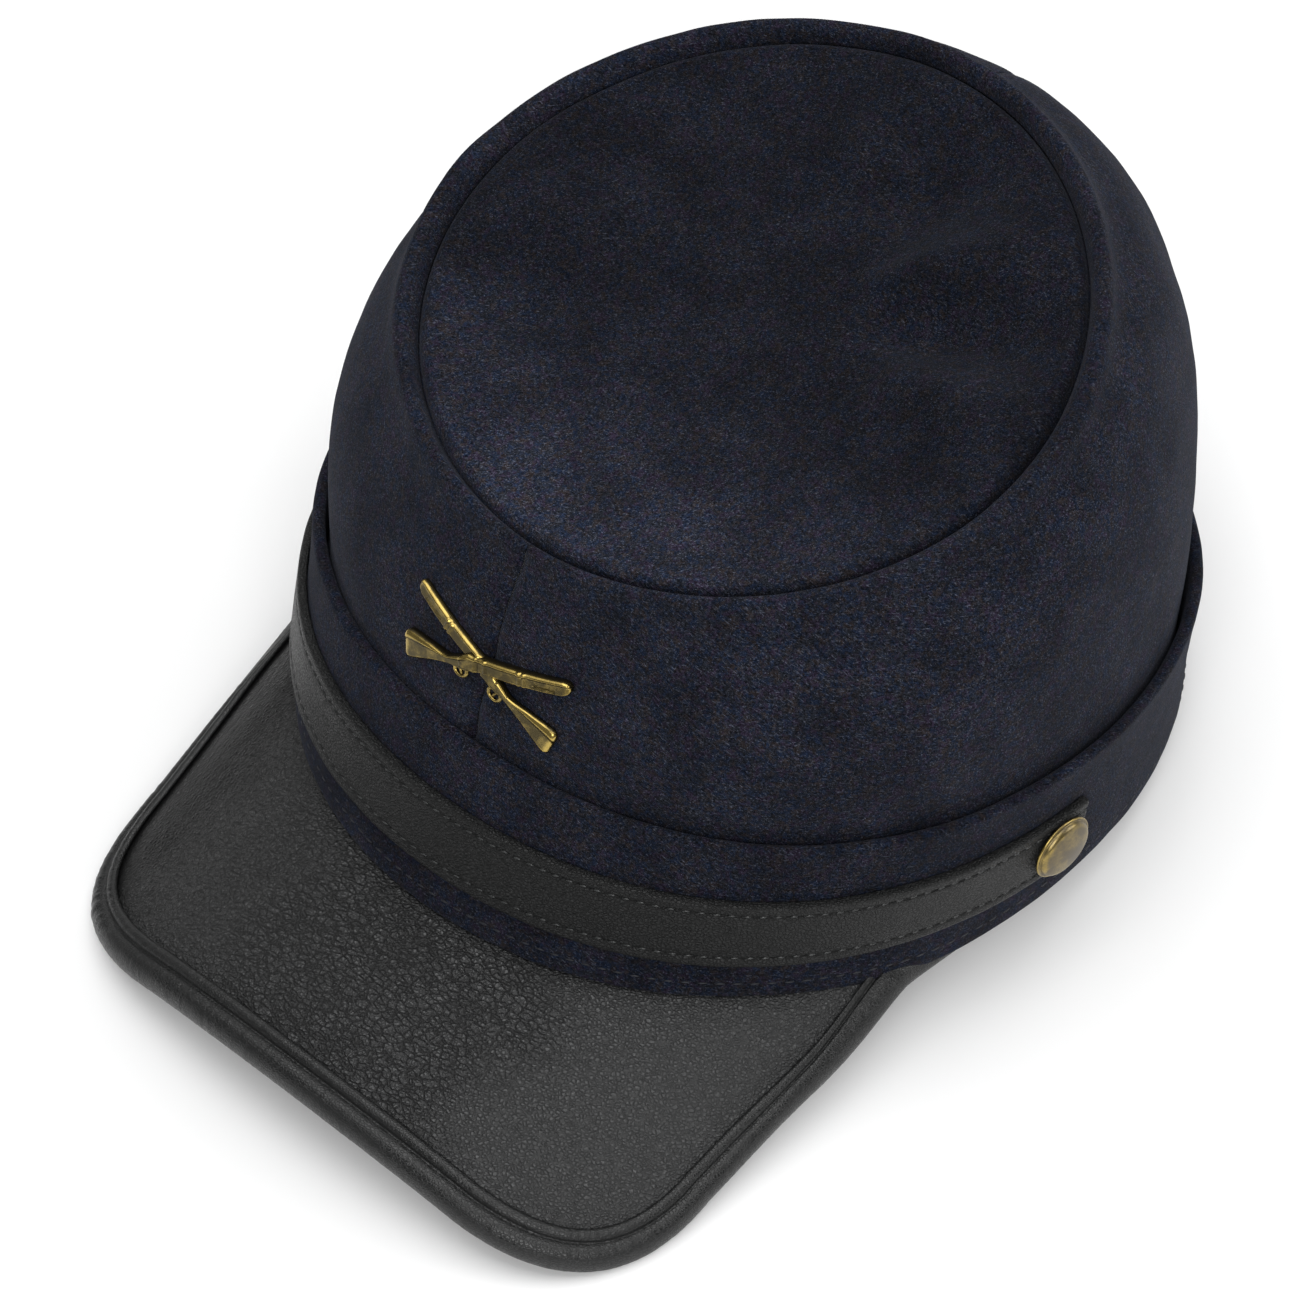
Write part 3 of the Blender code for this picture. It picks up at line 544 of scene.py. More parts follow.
# %% Two panels
SEAM_SPREAD = 2.5 * MM      # how far from a seam the cloth starts to sink
SEAM_SINK = 1.3 * MM
SEAM_LEAN_LOW = -1.7 * MM   # where the front seam meets the band
SEAM_LEAN_HIGH = 1.6 * MM   # where it meets the ring
PANEL_COLUMNS = 150
SEAM_COLUMNS = (0.0, 0.3 * MM, 0.65 * MM, 1.05 * MM, 1.5 * MM, 2.0 * MM, 2.6 * MM, 3.4 * MM, 4.6 * MM)


def smooth_step(value, low, high):
    """0 below low, 1 above high, and an even S between them."""
    share = min(max((value - low) / (high - low), 0.0), 1.0)
    return share * share * (3.0 - 2.0 * share)


def seam_lean(point):
    """How far the cloth near the front seam lies to one side at that height."""
    near = math.exp(-((point.x / (16.0 * MM)) ** 2)) if point.y < 0.0 else 0.0
    low = SEAM_LEAN_LOW * (1.0 - smooth_step(point.z, 36.0 * MM, 60.0 * MM))
    return near * (low + SEAM_LEAN_HIGH * smooth_step(point.z, 70.0 * MM, 86.0 * MM))


def panel_turns(start):
    """Directions round a panel, close together beside its two seams."""
    reach = MID.half_length
    near = [distance / reach for distance in SEAM_COLUMNS]
    inner = PANEL_COLUMNS - 2 * len(near)
    span = math.pi - 2.0 * near[-1]
    turns = near + [near[-1] + span * (i + 1) / (inner + 1) for i in range(inner)]
    return [start + turn for turn in turns + [math.pi - turn for turn in reversed(near)]]


def seam_pull(point):
    """How deep the stitches draw the cloth in beside the front or back seam, and their puckers."""
    distance = abs(point.x)
    if distance > 3.0 * SEAM_SPREAD:
        return 0.0
    uneven = 1.0 + 0.45 * noise.noise(Vector((point.y, 0.0, point.z)) / (5.0 * MM))
    ring = 1.0 - 0.65 * smooth_step(point.z, 84.0 * MM, 92.0 * MM)
    sink = SEAM_SINK * uneven * ring * max(0.0, 1.0 - distance / SEAM_SPREAD) ** 1.5
    pucker = noise.noise(Vector((distance / 2.5, point.y, point.z)) / (1.7 * MM))
    return (sink + 0.14 * MM * pucker * ring * math.exp(-distance / (2.6 * MM))) * seam_still(point) ** 2


def make_panel(name, start, node):
    """One wall panel, softly uneven, drawn in beside its seams and leaning with them."""
    ribs = [crown_rib(turn) for turn in panel_turns(start)]
    side = 1.0 if start < 0.0 else -1.0
    bm = grid(len(ribs), len(ribs[0]), lambda column, row: ribs[column][row])
    soften(face_away(bm), 21.0 * MM, 0.55 * MM, 1.0)
    soften(bm, 7.0 * MM, 0.16 * MM, 2.0)
    bm.normal_update()
    moves = [vertex.normal * -seam_pull(vertex.co) for vertex in bm.verts]
    for vertex, move in zip(bm.verts, moves):
        vertex.co += move
        if abs(vertex.co.x) < 0.2 * MM:
            vertex.co.x = side * GAP / 3.0
        vertex.co.x += seam_lean(vertex.co)
    return finish_piece(name, bm, side_wool, (node,), CROWN_WALL)


make_panel("wool_panel_left", FRONT, "crown_side_left")
make_panel("wool_panel_right", -FRONT, "crown_side_right")

# %% [markdown]
# ## The sunken top
#
# The top is a separate round of the same cloth, a little too large for its seam, so it sags and throws a few
# soft folds near its rear left edge.  Each fold is a low wave that starts some way out from the middle and dies
# away at the seam.  The edge dips in a soft groove before it turns down, because the seam pulls it under, and
# its seam allowance lies flat below the ring's.

# %% Top
TOP_SAG = 5.0 * MM
TOP_FOLD = 4.6 * MM
TOP_COLUMNS = 160
TOP_ROWS = 56
TOP_EDGE = ((-1.8, -4.0), (-0.9, -3.8), (-0.1, -3.4), (0.12, -2.6), (0.42, -1.8), (0.90, -1.10), (1.60, -0.58), (2.5, -0.22))
Fold = namedtuple("Fold", "angle inner spread height")
TOP_FOLDS = (
    Fold(math.radians(48.0), 0.32, 0.17, 1.0),
    Fold(math.radians(26.0), 0.32, 0.17, -1.0),
    Fold(math.radians(5.0), 0.42, 0.18, 0.7),
    Fold(math.radians(74.0), 0.45, 0.20, -0.7),
    Fold(math.radians(100.0), 0.50, 0.20, 0.4),
    Fold(math.radians(184.0), 0.50, 0.20, 0.5),
    Fold(math.radians(212.0), 0.50, 0.20, -0.5),
)


def fold_height(theta, share):
    """The folds' height in that direction, that share of the way out from the middle."""
    height = 0.0
    for fold in TOP_FOLDS:
        if share > fold.inner:
            turn = math.remainder(theta - fold.angle, 2.0 * math.pi) / fold.spread
            reach = (share - fold.inner) / (1.0 - fold.inner)
            height += TOP_FOLD * fold.height * math.exp(-turn * turn) * math.sin(math.pi * reach**0.8)
    return height


def make_top():
    def place(column, row):
        theta = 2.0 * math.pi * column / TOP_COLUMNS
        if row < len(TOP_EDGE):
            inward, up = TOP_EDGE[row]
            return on_section(TOP, theta, -GAP - inward * MM, up * MM)
        share = (1.0 - (row - len(TOP_EDGE)) / (TOP_ROWS - len(TOP_EDGE) - 1)) * 0.957
        up = fold_height(theta, share) - TOP_SAG * (1.0 - share * share)
        return on_section(TOP, theta, -GAP, up, share)

    bm = grid(TOP_COLUMNS, TOP_ROWS, place, round_columns=True)
    soften(face_away(bm), 18.0 * MM, 0.6 * MM, 3.0)
    soften(bm, 7.0 * MM, 0.15 * MM, 5.0)
    return finish_piece("wool_top", bm, top_wool, ("crown_top",), CROWN_WALL)


make_top()

# %% [markdown]
# ## The turned-up band
#
# The cuff is one strip of wool folded over at its top, so it is thick and round there and pressed flat at the
# rim.  One closed rib, swept round the head, makes the whole cuff.  At the sides its upper edge stands off the
# crown a little, and over the two ends of the peak its lower edge sags.  A row of small stitches holds the peak and the turned-in edge together, just above the rim:
# each stitch is a tiny low ball, drawn out along the seam.

# %% Band
BAND_COLUMNS = 300
BAND_SOFT_EDGE = 0.9 * MM
BAND_FLARE = 1.3 * MM
ROOT_DIP = 2.2 * MM                         # how far the rim sags over the ends of the peak
ROOT_DIP_TURN = math.radians(66.0)          # where, as a turn from the front
ROOT_DIP_SPREAD = math.radians(13.0)


def band_face(theta, height, outward=0.0):
    """The cuff's uneven face with its slight flare at the sides, where the cloth stands off the crown."""
    flare = BAND_FLARE * math.cos(theta) ** 2 * max(height / BAND_TOP.height, 0.0) ** 5
    point = band_place(theta, height)
    swell = 0.35 * MM * noise.noise(point / (24.0 * MM)) + 0.10 * MM * noise.noise(point / (6.0 * MM))
    from_root = (math.remainder(abs(theta - FRONT), 2.0 * math.pi) - ROOT_DIP_TURN) / ROOT_DIP_SPREAD
    dip = ROOT_DIP * math.exp(-from_root * from_root) * (1.0 - smooth_step(height, 0.0, 14.0 * MM))
    return band_place(theta, height, outward + flare + swell) - Vector((0.0, 0.0, dip))


def band_rib():
    """The cuff's rib as depth in from its face and height, from the rim's outer corner over the fold."""
    fold = BAND_WALL / 2.0
    rib = [(1.0, 0.0), (0.45, 0.16), (0.12, 0.5), (0.0, 1.0)]
    rib = [(depth * BAND_SOFT_EDGE, height * BAND_SOFT_EDGE) for depth, height in rib]
    face_rows = 26
    top = BAND_TOP.height - fold
    rib += [(0.0, BAND_SOFT_EDGE + (top - BAND_SOFT_EDGE) * (i + 1) / face_rows) for i in range(face_rows)]
    for step in range(1, 9):
        turn = math.pi * step / 8.0
        rib.append((fold - fold * math.cos(turn), top + fold * math.sin(turn)))
    rib += [(BAND_WALL, top * share) for share in (0.75, 0.5, 0.25, 0.0)]
    return rib


def make_band():
    rib = band_rib()

    def place(column, row):
        theta = 2.0 * math.pi * column / BAND_COLUMNS
        depth, height = rib[row]
        return band_face(theta, height, -depth)

    bm = close(grid(BAND_COLUMNS, len(rib), place, round_columns=True, round_rows=True))
    return finish_piece("wool_band", bm, band_wool, ("band",))


make_band()

# %% Rim stitches
RIM_STITCHES = 172
RIM_STITCH_HEIGHT = 3.9 * MM


def stitch_frame(place, theta, height, lean=0.0):
    """A frame on a face: x along it, y up it and z out of it, turned by a small lean."""
    along = (place(theta + 0.002, height) - place(theta - 0.002, height)).normalized()
    normal = outward_normal(place, theta, height, 0.2 * MM)
    frame_turn = Matrix((along, normal.cross(along), normal)).transposed().to_4x4()
    return Matrix.Translation(place(theta, height)) @ frame_turn @ Matrix.Rotation(lean, 4, "Z")


def add_stitch(bm, frame_matrix, length, width, height):
    """One stitch: a tiny ball drawn out along its thread."""
    size = Matrix.Diagonal((length / 2.0, width / 2.0, height / 2.0, 1.0))
    bmesh.ops.create_uvsphere(bm, u_segments=6, v_segments=4, radius=1.0, matrix=frame_matrix @ size)


def make_rim_stitches():
    bm = bmesh.new()

    def face(theta, height):
        return band_face(theta, height, 0.02 * MM)

    for i in range(RIM_STITCHES):
        theta = 2.0 * math.pi * (i + 0.5) / RIM_STITCHES
        add_stitch(bm, stitch_frame(face, theta, RIM_STITCH_HEIGHT, 0.06), 2.2 * MM, 0.5 * MM, 0.4 * MM)
    return finish_piece("rim_stitches", bm, navy_thread)


def thread(name, colour, roughness):
    """Twisted thread: fine slanting light and dark along each stitch."""
    material, tree, shader, coords = new_tree(name)
    twist = noise_of(tree, stretched(tree, coords, (0.5, 0.3, 0.8), (0.9 * MM, 0.22 * MM, 0.22 * MM)), 2.0)
    dark = tuple(c * 0.35 for c in colour)
    tree.links.new(blend(tree, ramp(tree, twist, 0.35, 0.65), dark, colour), shader.inputs["Base Color"])
    shader.inputs["Roughness"].default_value = roughness
    bump(tree, shader, twist, 0.5, 0.06 * MM)
    return material


navy_thread = thread("navy_thread", (0.013, 0.015, 0.023), 0.6)
make_rim_stitches()

# %% [markdown]
# ## Black leather
#
# The peak and strap are thin finished leather.  Its grain is a net of small plump cells parted by fine
# creases, and the creases grow longer and wider where the leather was bent.  Nets of Voronoi cells, bent by
# noise and stretched along the creases' own direction, give them.  On the peak the creases change from place to
# place: at the wearer's right they run forward, in the middle they run across, and at the left only the fine
# pebbles are left.  A crease lowers the bump and takes the shine away, and its colour is darkened as painted
# shade, because it catches no light.

# %% Leather
LEATHER = (0.0085, 0.0090, 0.0090)
CREASE_SHADE = (0.0008, 0.0008, 0.0009)


def creases(tree, coords, cell, turn, stretch, width, bend=0.9):
    """A net of creases: 0 in a crease and 1 on the plump cell between them."""
    warp = tree.nodes.new("ShaderNodeTexNoise")
    warp.inputs["Scale"].default_value = 1.0 / (2.2 * cell)
    warp.inputs["Detail"].default_value = 3.0
    tree.links.new(coords, warp.inputs["Vector"])
    bent = tree.nodes.new("ShaderNodeVectorMath")
    bent.operation = "MULTIPLY_ADD"
    tree.links.new(warp.outputs["Color"], bent.inputs[0])
    bent.inputs[1].default_value = (bend * cell,) * 3
    tree.links.new(coords, bent.inputs[2])
    net = tree.nodes.new("ShaderNodeTexVoronoi")
    net.feature = "DISTANCE_TO_EDGE"
    net.inputs["Scale"].default_value = 1.0
    vector = stretched(tree, bent.outputs["Vector"], turn, (stretch * cell, cell, cell))
    tree.links.new(vector, net.inputs["Vector"])
    return ramp(tree, net.outputs["Distance"], 0.0, width)


def finish_leather(tree, shader, coords, height, plump, roughness, relief, gloss, colour=LEATHER):
    """Turns a height and a plumpness into colour, shine and bump, with a soft uneven polish; the creases get painted
    shade.
    """
    polish = noise_of(tree, stretched(tree, coords, (0.1, 0.2, 0.3), (22.0 * MM,) * 3), 2.0)
    # Painted shade: the creases' colour is drawn towards near black.
    tree.links.new(blend(tree, plump, CREASE_SHADE, colour), shader.inputs["Base Color"])
    rough = maths(tree, "ADD", roughness, maths(tree, "MULTIPLY", maths(tree, "SUBTRACT", 1.0, plump), 0.30))
    rough = maths(tree, "ADD", rough, ramp(tree, polish, 0.3, 0.7, -0.03, 0.05))
    tree.links.new(rough, shader.inputs["Roughness"])
    shader.inputs["Specular IOR Level"].default_value = gloss
    bump(tree, shader, height, 0.9, relief)


def leather(name, cell, relief, roughness, gloss):
    """Finished leather with one fine pebbled grain."""
    material, tree, shader, coords = new_tree(name)
    grain = creases(tree, coords, cell, (0.0, 0.0, 0.6), 1.4, 0.22)
    fine = noise_of(tree, stretched(tree, coords, (0.3, 0.2, 0.1), (cell * 0.4,) * 3), 2.0)
    height = maths(tree, "ADD", grain, maths(tree, "MULTIPLY", fine, 0.6))
    finish_leather(tree, shader, coords, height, ramp(tree, grain, 0.0, 1.0, 0.35, 1.0), roughness, relief, gloss)
    return material


edge_leather = leather("edge_leather", 0.60 * MM, 0.05 * MM, 0.27, 0.45)
strap_leather = leather("strap_leather", 0.62 * MM, 0.22 * MM, 0.36, 0.32)
print("leather:", len(strap_leather.node_tree.nodes), "nodes")

# %% Wrinkled leather
# Painted light and shade on the peak: a light grey over most of it stands for its broad gloss, and near black where it
# is smooth, at the wearer's right, stands for the dark reflection there.
PAINTED_LIGHT_LEATHER = (0.0410, 0.0418, 0.0425)
PAINTED_SHADE_LEATHER = (0.0030, 0.0031, 0.0032)
ACROSS = (0.0, 0.0, 0.10)
FORWARD = (0.0, 0.0, 1.35)


def wrinkled_leather(name, roughness, relief):
    """The peak's leather: fine pebbles everywhere, longer creases that turn from place to place, and painted light
    over most of it with painted shade where it is smooth.
    """
    material, tree, shader, coords = new_tree(name)
    drift = noise_of(tree, stretched(tree, coords, (0.0, 0.0, 0.2), (20.0 * MM,) * 3), 3.0)
    split = tree.nodes.new("ShaderNodeSeparateXYZ")
    tree.links.new(coords, split.inputs[0])
    place = maths(tree, "ADD", split.outputs["X"], maths(tree, "MULTIPLY", drift, 40.0 * MM))
    right_side = ramp(tree, place, -32.0 * MM, 0.0, 1.0, 0.0)
    left_side = ramp(tree, place, 45.0 * MM, 68.0 * MM)
    pebbles = creases(tree, coords, 0.72 * MM, (0.0, 0.0, 0.4), 1.3, 0.30)
    forward = creases(tree, coords, 1.0 * MM, FORWARD, 1.8, 0.20, 1.2)
    across = creases(tree, coords, 1.35 * MM, ACROSS, 1.9, 0.15, 1.5)
    broad = creases(tree, coords, 3.4 * MM, ACROSS, 1.5, 0.08, 1.6)
    let = ramp(tree, drift, 0.42, 0.56)
    deep = maths(tree, "MULTIPLY", maths(tree, "SUBTRACT", 1.0, broad), let)
    middle = maths(tree, "MULTIPLY", across, maths(tree, "SUBTRACT", 1.0, maths(tree, "MULTIPLY", deep, 0.9)))
    chosen = tree.nodes.new("ShaderNodeMix")
    tree.links.new(right_side, chosen.inputs["Factor"])
    tree.links.new(middle, chosen.inputs["A"])
    tree.links.new(forward, chosen.inputs["B"])
    strength = maths(tree, "SUBTRACT", 1.0, maths(tree, "MULTIPLY", left_side, 0.75))
    dip = maths(tree, "MULTIPLY", maths(tree, "SUBTRACT", 1.0, chosen.outputs["Result"]), strength)
    height = maths(tree, "SUBTRACT", maths(tree, "MULTIPLY", pebbles, 0.70), dip)
    fine = maths(tree, "ADD", 0.40, maths(tree, "MULTIPLY", pebbles, 0.60))
    plump = maths(tree, "MULTIPLY", fine, maths(tree, "SUBTRACT", 1.0, maths(tree, "MULTIPLY", dip, 0.8)))
    smooth = ramp(tree, place, -52.0 * MM, -14.0 * MM, 1.0, 0.0)
    rough = maths(tree, "SUBTRACT", roughness, maths(tree, "MULTIPLY", smooth, 0.10))
    height = maths(tree, "MULTIPLY", height, maths(tree, "SUBTRACT", 1.0, maths(tree, "MULTIPLY", smooth, 0.80)))
    # Painted light and shade: light grey over most of the peak, near black where the smooth mask is high.
    colour = blend(tree, smooth, PAINTED_LIGHT_LEATHER, PAINTED_SHADE_LEATHER)
    finish_leather(tree, shader, coords, height, plump, rough, relief, 0.37, colour)
    return material


peak_leather = wrinkled_leather("peak_leather", 0.27, 0.26 * MM)
print("wrinkled leather:", len(peak_leather.node_tree.nodes), "nodes")

# %% [markdown]
# ## The peak
#
# A peak is a stiff sheet cut with a curved back edge, bent along the rim and falling away in front.  Its plan
# is a trapezium with rounded corners, and its height follows from how far a point lies in front of the rim.
# At both ends its edge runs in under the band, and along the sides it droops a little.  The sheet is one open
# surface with a wall given by a Solidify modifier, fine enough to carry the coarser wrinkles in its shape.

# %% The peak's form
PEAK_ROOT_HALF_WIDTH = 83.8 * MM
PEAK_FRONT_HALF_WIDTH = 79.2 * MM
PEAK_SIDE_REACH = 132.5 * MM
PEAK_FRONT_BULGE = 7.0 * MM
PEAK_CORNER = 32.0 * MM
PEAK_SLOPE = 0.47
PEAK_BEND = 5.0 * MM
PEAK_WALL = 2.4 * MM
PEAK_DROOP = 0.8 * MM
ROOT_TUCK = 1.8 * MM        # how far the edge has turned in where it goes under the band
ROOT_RUN = 30.0 * MM        # over how much of its length it turns in
ROOT_HIDDEN = 10.0 * MM     # how far it runs on under the band


def rim_front(x):
    """The y of the rim's front half at x, as a plain ellipse."""
    share = min(abs(x) / RIM.half_width, 0.995)
    return -RIM.half_length * math.sqrt(1.0 - share * share)


def peak_height(x, y):
    """The height of the sheet's middle: level under the band, then falling forward, drooping at the sides."""
    beyond = rim_front(x) - y
    fall = (beyond + math.hypot(beyond, PEAK_BEND) - PEAK_BEND) / 2.0
    from_edge = PEAK_FRONT_HALF_WIDTH + (y + PEAK_SIDE_REACH) * 0.05 - abs(x)
    window = smooth_step(-y, 42.0 * MM, 60.0 * MM) * (1.0 - smooth_step(-y, 98.0 * MM, 118.0 * MM))
    droop = PEAK_DROOP * window * math.exp(-max(from_edge, 0.0) / (7.0 * MM))
    return -GAP - PEAK_WALL / 2.0 - PEAK_SLOPE * max(fall, 0.0) - droop


def peak_place(x, y, up=0.0):
    """A point of the sheet's middle, moved along its normal."""
    step = 0.2 * MM
    dx = (peak_height(x + step, y) - peak_height(x - step, y)) / (2.0 * step)
    dy = (peak_height(x, y + step) - peak_height(x, y - step)) / (2.0 * step)
    return Vector((x, y, peak_height(x, y))) + Vector((-dx, -dy, 1.0)).normalized() * up


def peak_stations(side, corner, front):
    """Points round the peak's edge with the way in from each; the counts say how fine each stretch is."""
    root = Vector((PEAK_ROOT_HALF_WIDTH, rim_front(PEAK_ROOT_HALF_WIDTH)))
    tip = Vector((PEAK_FRONT_HALF_WIDTH, -PEAK_SIDE_REACH))
    side_end = Vector((PEAK_FRONT_HALF_WIDTH, PEAK_CORNER - PEAK_SIDE_REACH))
    front_start = PEAK_FRONT_HALF_WIDTH - PEAK_CORNER
    run = (side_end - root).length

    def front_point(x):
        return Vector((x, -PEAK_SIDE_REACH - PEAK_FRONT_BULGE * (1.0 - (x / PEAK_FRONT_HALF_WIDTH) ** 2)))

    half = []
    for i in range(side):
        along = (run + ROOT_HIDDEN) * i / side - ROOT_HIDDEN
        tuck = ROOT_TUCK * (1.0 - smooth_step(along, 0.0, ROOT_RUN))
        half.append(root.lerp(side_end, along / run) - Vector((tuck, 0.0)))
    for i in range(corner):
        share = i / corner
        half.append(side_end.lerp(tip, share).lerp(tip.lerp(front_point(front_start), share), share))
    half += [front_point(front_start * (1.0 - i / front)) for i in range(front + 1)]
    outline = [Vector((-p.x, p.y)) for p in half] + half[-2::-1]
    stations = []
    for i, point in enumerate(outline):
        along = outline[min(i + 1, len(outline) - 1)] - outline[max(i - 1, 0)]
        inward = Vector((-along.y, along.x)).normalized()
        probe = point + inward * MM
        climb = (peak_height(probe.x, probe.y) - peak_height(point.x, point.y)) / MM
        stations.append((point, inward, 1.0 / math.hypot(1.0, climb)))
    return stations


# %% The leather sheet
SHEET_ROWS = 92
BINDING_LIP = 5.5 * MM


def sheet_wrinkle(x, y):
    """The coarser wrinkles' depth: across in the middle, forward at the wearer's right, none at the left."""
    drift = noise.noise(Vector((x, y, 4.0 * MM)) / (24.0 * MM))
    forward = smooth_step(-x + drift * 20.0 * MM, 18.0 * MM, 46.0 * MM)
    plain = smooth_step(x + drift * 20.0 * MM, 26.0 * MM, 55.0 * MM)
    across_lines = noise.noise(Vector((x / (11.0 * MM), y / (2.1 * MM), 0.7)))
    forward_lines = noise.noise(Vector((x / (2.0 * MM), y / (8.0 * MM), 5.3)))
    across_crease = max(0.0, 1.0 - abs(across_lines) / 0.16)
    forward_crease = max(0.0, 1.0 - abs(forward_lines) / 0.20)
    depth = across_crease * (1.0 - forward) * (1.0 - plain) + forward_crease * forward * 0.7
    return 0.11 * MM * depth * smooth_step(drift, -0.35, 0.25)


def make_peak():
    stations = peak_stations(86, 50, 64)
    end_angle = math.acos(PEAK_ROOT_HALF_WIDTH / RIM.half_width)

    def place(column, row):
        point, inward, stretch = stations[column]
        lip = inward * (BINDING_LIP * stretch)
        if row < 3:
            return peak_place(*(point + lip * (row / 2.0)), PEAK_WALL / 2.0)
        share = column / (len(stations) - 1)
        theta = -math.pi + end_angle + (math.pi - 2.0 * end_angle) * share
        root = on_section(RIM, theta, -BINDING_LIP - MM)
        near = ((row - 2) / SHEET_ROWS) ** 0.9
        x, y = (point + lip).lerp(Vector((root.x, root.y)), near)
        from_lip = smooth_step(row, 2, 12)
        swell = 0.35 * MM * noise.noise(Vector((x, y, 0.3)) / (26.0 * MM)) - sheet_wrinkle(x, y)
        return peak_place(x, y, PEAK_WALL / 2.0 + swell * from_lip)

    bm = grid(len(stations), 3 + SHEET_ROWS, place)
    face_away(bm, Vector((0.0, -90.0 * MM, -300.0 * MM)))
    return finish_piece("peak_sheet", bm, peak_leather, ("peak",), PEAK_WALL)


make_peak()

# %% [markdown]
# ## The rolled edge
#
# A strip of softer leather is sewn to the peak, rolled round its edge and caught again underneath.  On top it
# shows as a narrow bead, a stitched groove, and the wide soft roll, which hangs lower than the sheet.  The
# stitches gather the leather, so fine wrinkles run out from the groove, straight across the roll, and die away
# over it, more at the front corners, where there is more leather to gather.

# %% Rolled edge
LIP_PROFILE = (
    (-5.30, 1.35, 0.0), (-5.55, 1.60, 0.1), (-5.50, 1.98, 0.3), (-5.15, 2.36, 0.6), (-4.55, 2.58, 0.8),
    (-3.90, 2.60, 0.8), (-3.30, 2.40, 0.7), (-2.85, 1.98, 0.4), (-2.60, 1.50, 0.1), (-2.30, 1.74, 0.7),
    (-1.80, 2.10, 1.0), (-1.10, 2.32, 1.0), (-0.35, 2.36, 1.0), (0.40, 2.22, 0.9), (1.10, 1.90, 0.8),
    (1.75, 1.42, 0.7), (2.30, 0.82, 0.6), (2.75, 0.12, 0.5), (3.05, -0.62, 0.4), (3.20, -1.35, 0.3),
    (3.18, -2.05, 0.2), (2.95, -2.70, 0.1), (2.45, -3.25, 0.0), (1.70, -3.62, 0.0), (0.60, -3.78, 0.0),
    (-0.90, -3.65, 0.0), (-2.80, -3.15, 0.0), (-4.60, -2.65, 0.0), (-5.40, -2.10, 0.0), (-5.50, -1.55, 0.0),
    (-2.00, -1.35, 0.0), (0.25, -1.35, 0.0), (0.25, 1.28, 0.0), (-2.00, 1.28, 0.0),
)


def pressed_under_band(point):
    """Leather that runs under the band is pressed flat beneath it and rises beyond its face."""
    beyond = math.hypot(point.x / RIM.half_width, point.y / RIM.half_length) - 1.0
    ceiling = -GAP + max(0.0, beyond * RIM.half_width) * 1.6
    point.z = min(point.z, ceiling)
    return point


def roll_frame(stations, column):
    """The ways out and up of the roll: square to the edge, tilted with the sheet, but level at the root."""
    before = stations[max(column - 1, 0)][0]
    after = stations[min(column + 1, len(stations) - 1)][0]
    along = (peak_place(*after) - peak_place(*before)).normalized()
    point, inward, stretch = stations[column]
    level = Vector((-inward.x, -inward.y, 0.0))
    square = level.cross(along).normalized()
    if square.z < 0.0:
        square = -square
    tilt = math.acos(min(stretch, 1.0)) * smooth_step(-point.y, 48.0 * MM, 85.0 * MM)
    return level * math.cos(tilt) - square * math.sin(tilt), square * math.cos(tilt) + level * math.sin(tilt)


def make_rolled_edge():
    stations = peak_stations(190, 120, 140)
    runs = [0.0]
    for (a, _, _), (b, _, _) in zip(stations, stations[1:]):
        runs.append(runs[-1] + (b - a).length)

    frames = [roll_frame(stations, column) for column in range(len(stations))]

    def place(column, row):
        point, inward, stretch = stations[column]
        outward, upward = frames[column]
        out, up, lift = LIP_PROFILE[row]
        run = runs[column] / MM
        corner = 1.0 + 0.9 * math.exp(-(((abs(point.x) - 66.0 * MM) / (16.0 * MM)) ** 2)) * (point.y < -0.11)
        fine = noise.noise(Vector((run / 0.85, out / 7.0, up / 9.0)))
        gather = fine + 0.6 * noise.noise(Vector((run / 2.1, out / 9.0, 3.0)))
        swell = noise.noise(Vector((run / 11.0, out / 8.0, 7.0)))
        raised = lift * (0.13 * gather * corner + 0.18 * swell) * MM
        up = up * MM + math.copysign(raised, up)
        if out <= 0.0:
            slim = 1.0 - 0.42 * (1.0 - smooth_step(-point.y, 50.0 * MM, 92.0 * MM))
            x, y = point - inward * (out * slim * MM * stretch)
            return pressed_under_band(peak_place(x, y) + upward * up)
        return pressed_under_band(peak_place(*point) + upward * up + outward * (out * MM + raised))

    bm = close(grid(len(stations), len(LIP_PROFILE), place, round_rows=True))
    return finish_piece("rolled_edge", bm, edge_leather, ("peak_binding",))


make_rolled_edge()

# %% [markdown]
# ## The chin strap
#
# The strap is a folded leather ribbon: its two long edges are turned in and stitched down, which makes a plump
# margin, a narrow furrow with the thread in it, and a flat middle.  It lies on the band's front and ends just
# past each button.  The ribbon is swept like the band, with the furrow pinched between the stitches, and the
# thread is a second piece.

# %% Strap
STRAP_LOW = 10.3 * MM
STRAP_WIDTH = 15.8 * MM
STRAP_WALL = 2.0 * MM
STRAP_TAIL = 7.5 * MM
STRAP_MIDDLE = STRAP_LOW + STRAP_WIDTH / 2.0
BUTTON_ANGLE = math.radians(6.1)
STITCH_INSET = 2.45 * MM
STITCH_PITCH = 3.2 * MM
STRAP_COLUMNS = 620
STRAP_END = -BUTTON_ANGLE + STRAP_TAIL / RIM.half_length
STRAP_START = -math.pi - STRAP_END


def strap_profile():
    """Half of the strap's section, from its middle to its edge: height from the middle and thickness share."""
    half = STRAP_WIDTH / 2.0 / MM
    furrow = half - STITCH_INSET / MM
    outer = [(0.0, 0.96), (furrow * 0.5, 0.965), (furrow - 0.8, 0.97), (furrow - 0.35, 0.93), (furrow, 0.76)]
    outer += [(furrow + 0.35, 0.93), (furrow + 0.8, 0.99), (half - 0.7, 1.0), (half - 0.3, 0.95), (half - 0.08, 0.80)]
    outer += [(half, 0.55), (half, 0.15), (half - 0.15, 0.0)]
    return [(height * MM, share) for height, share in outer]


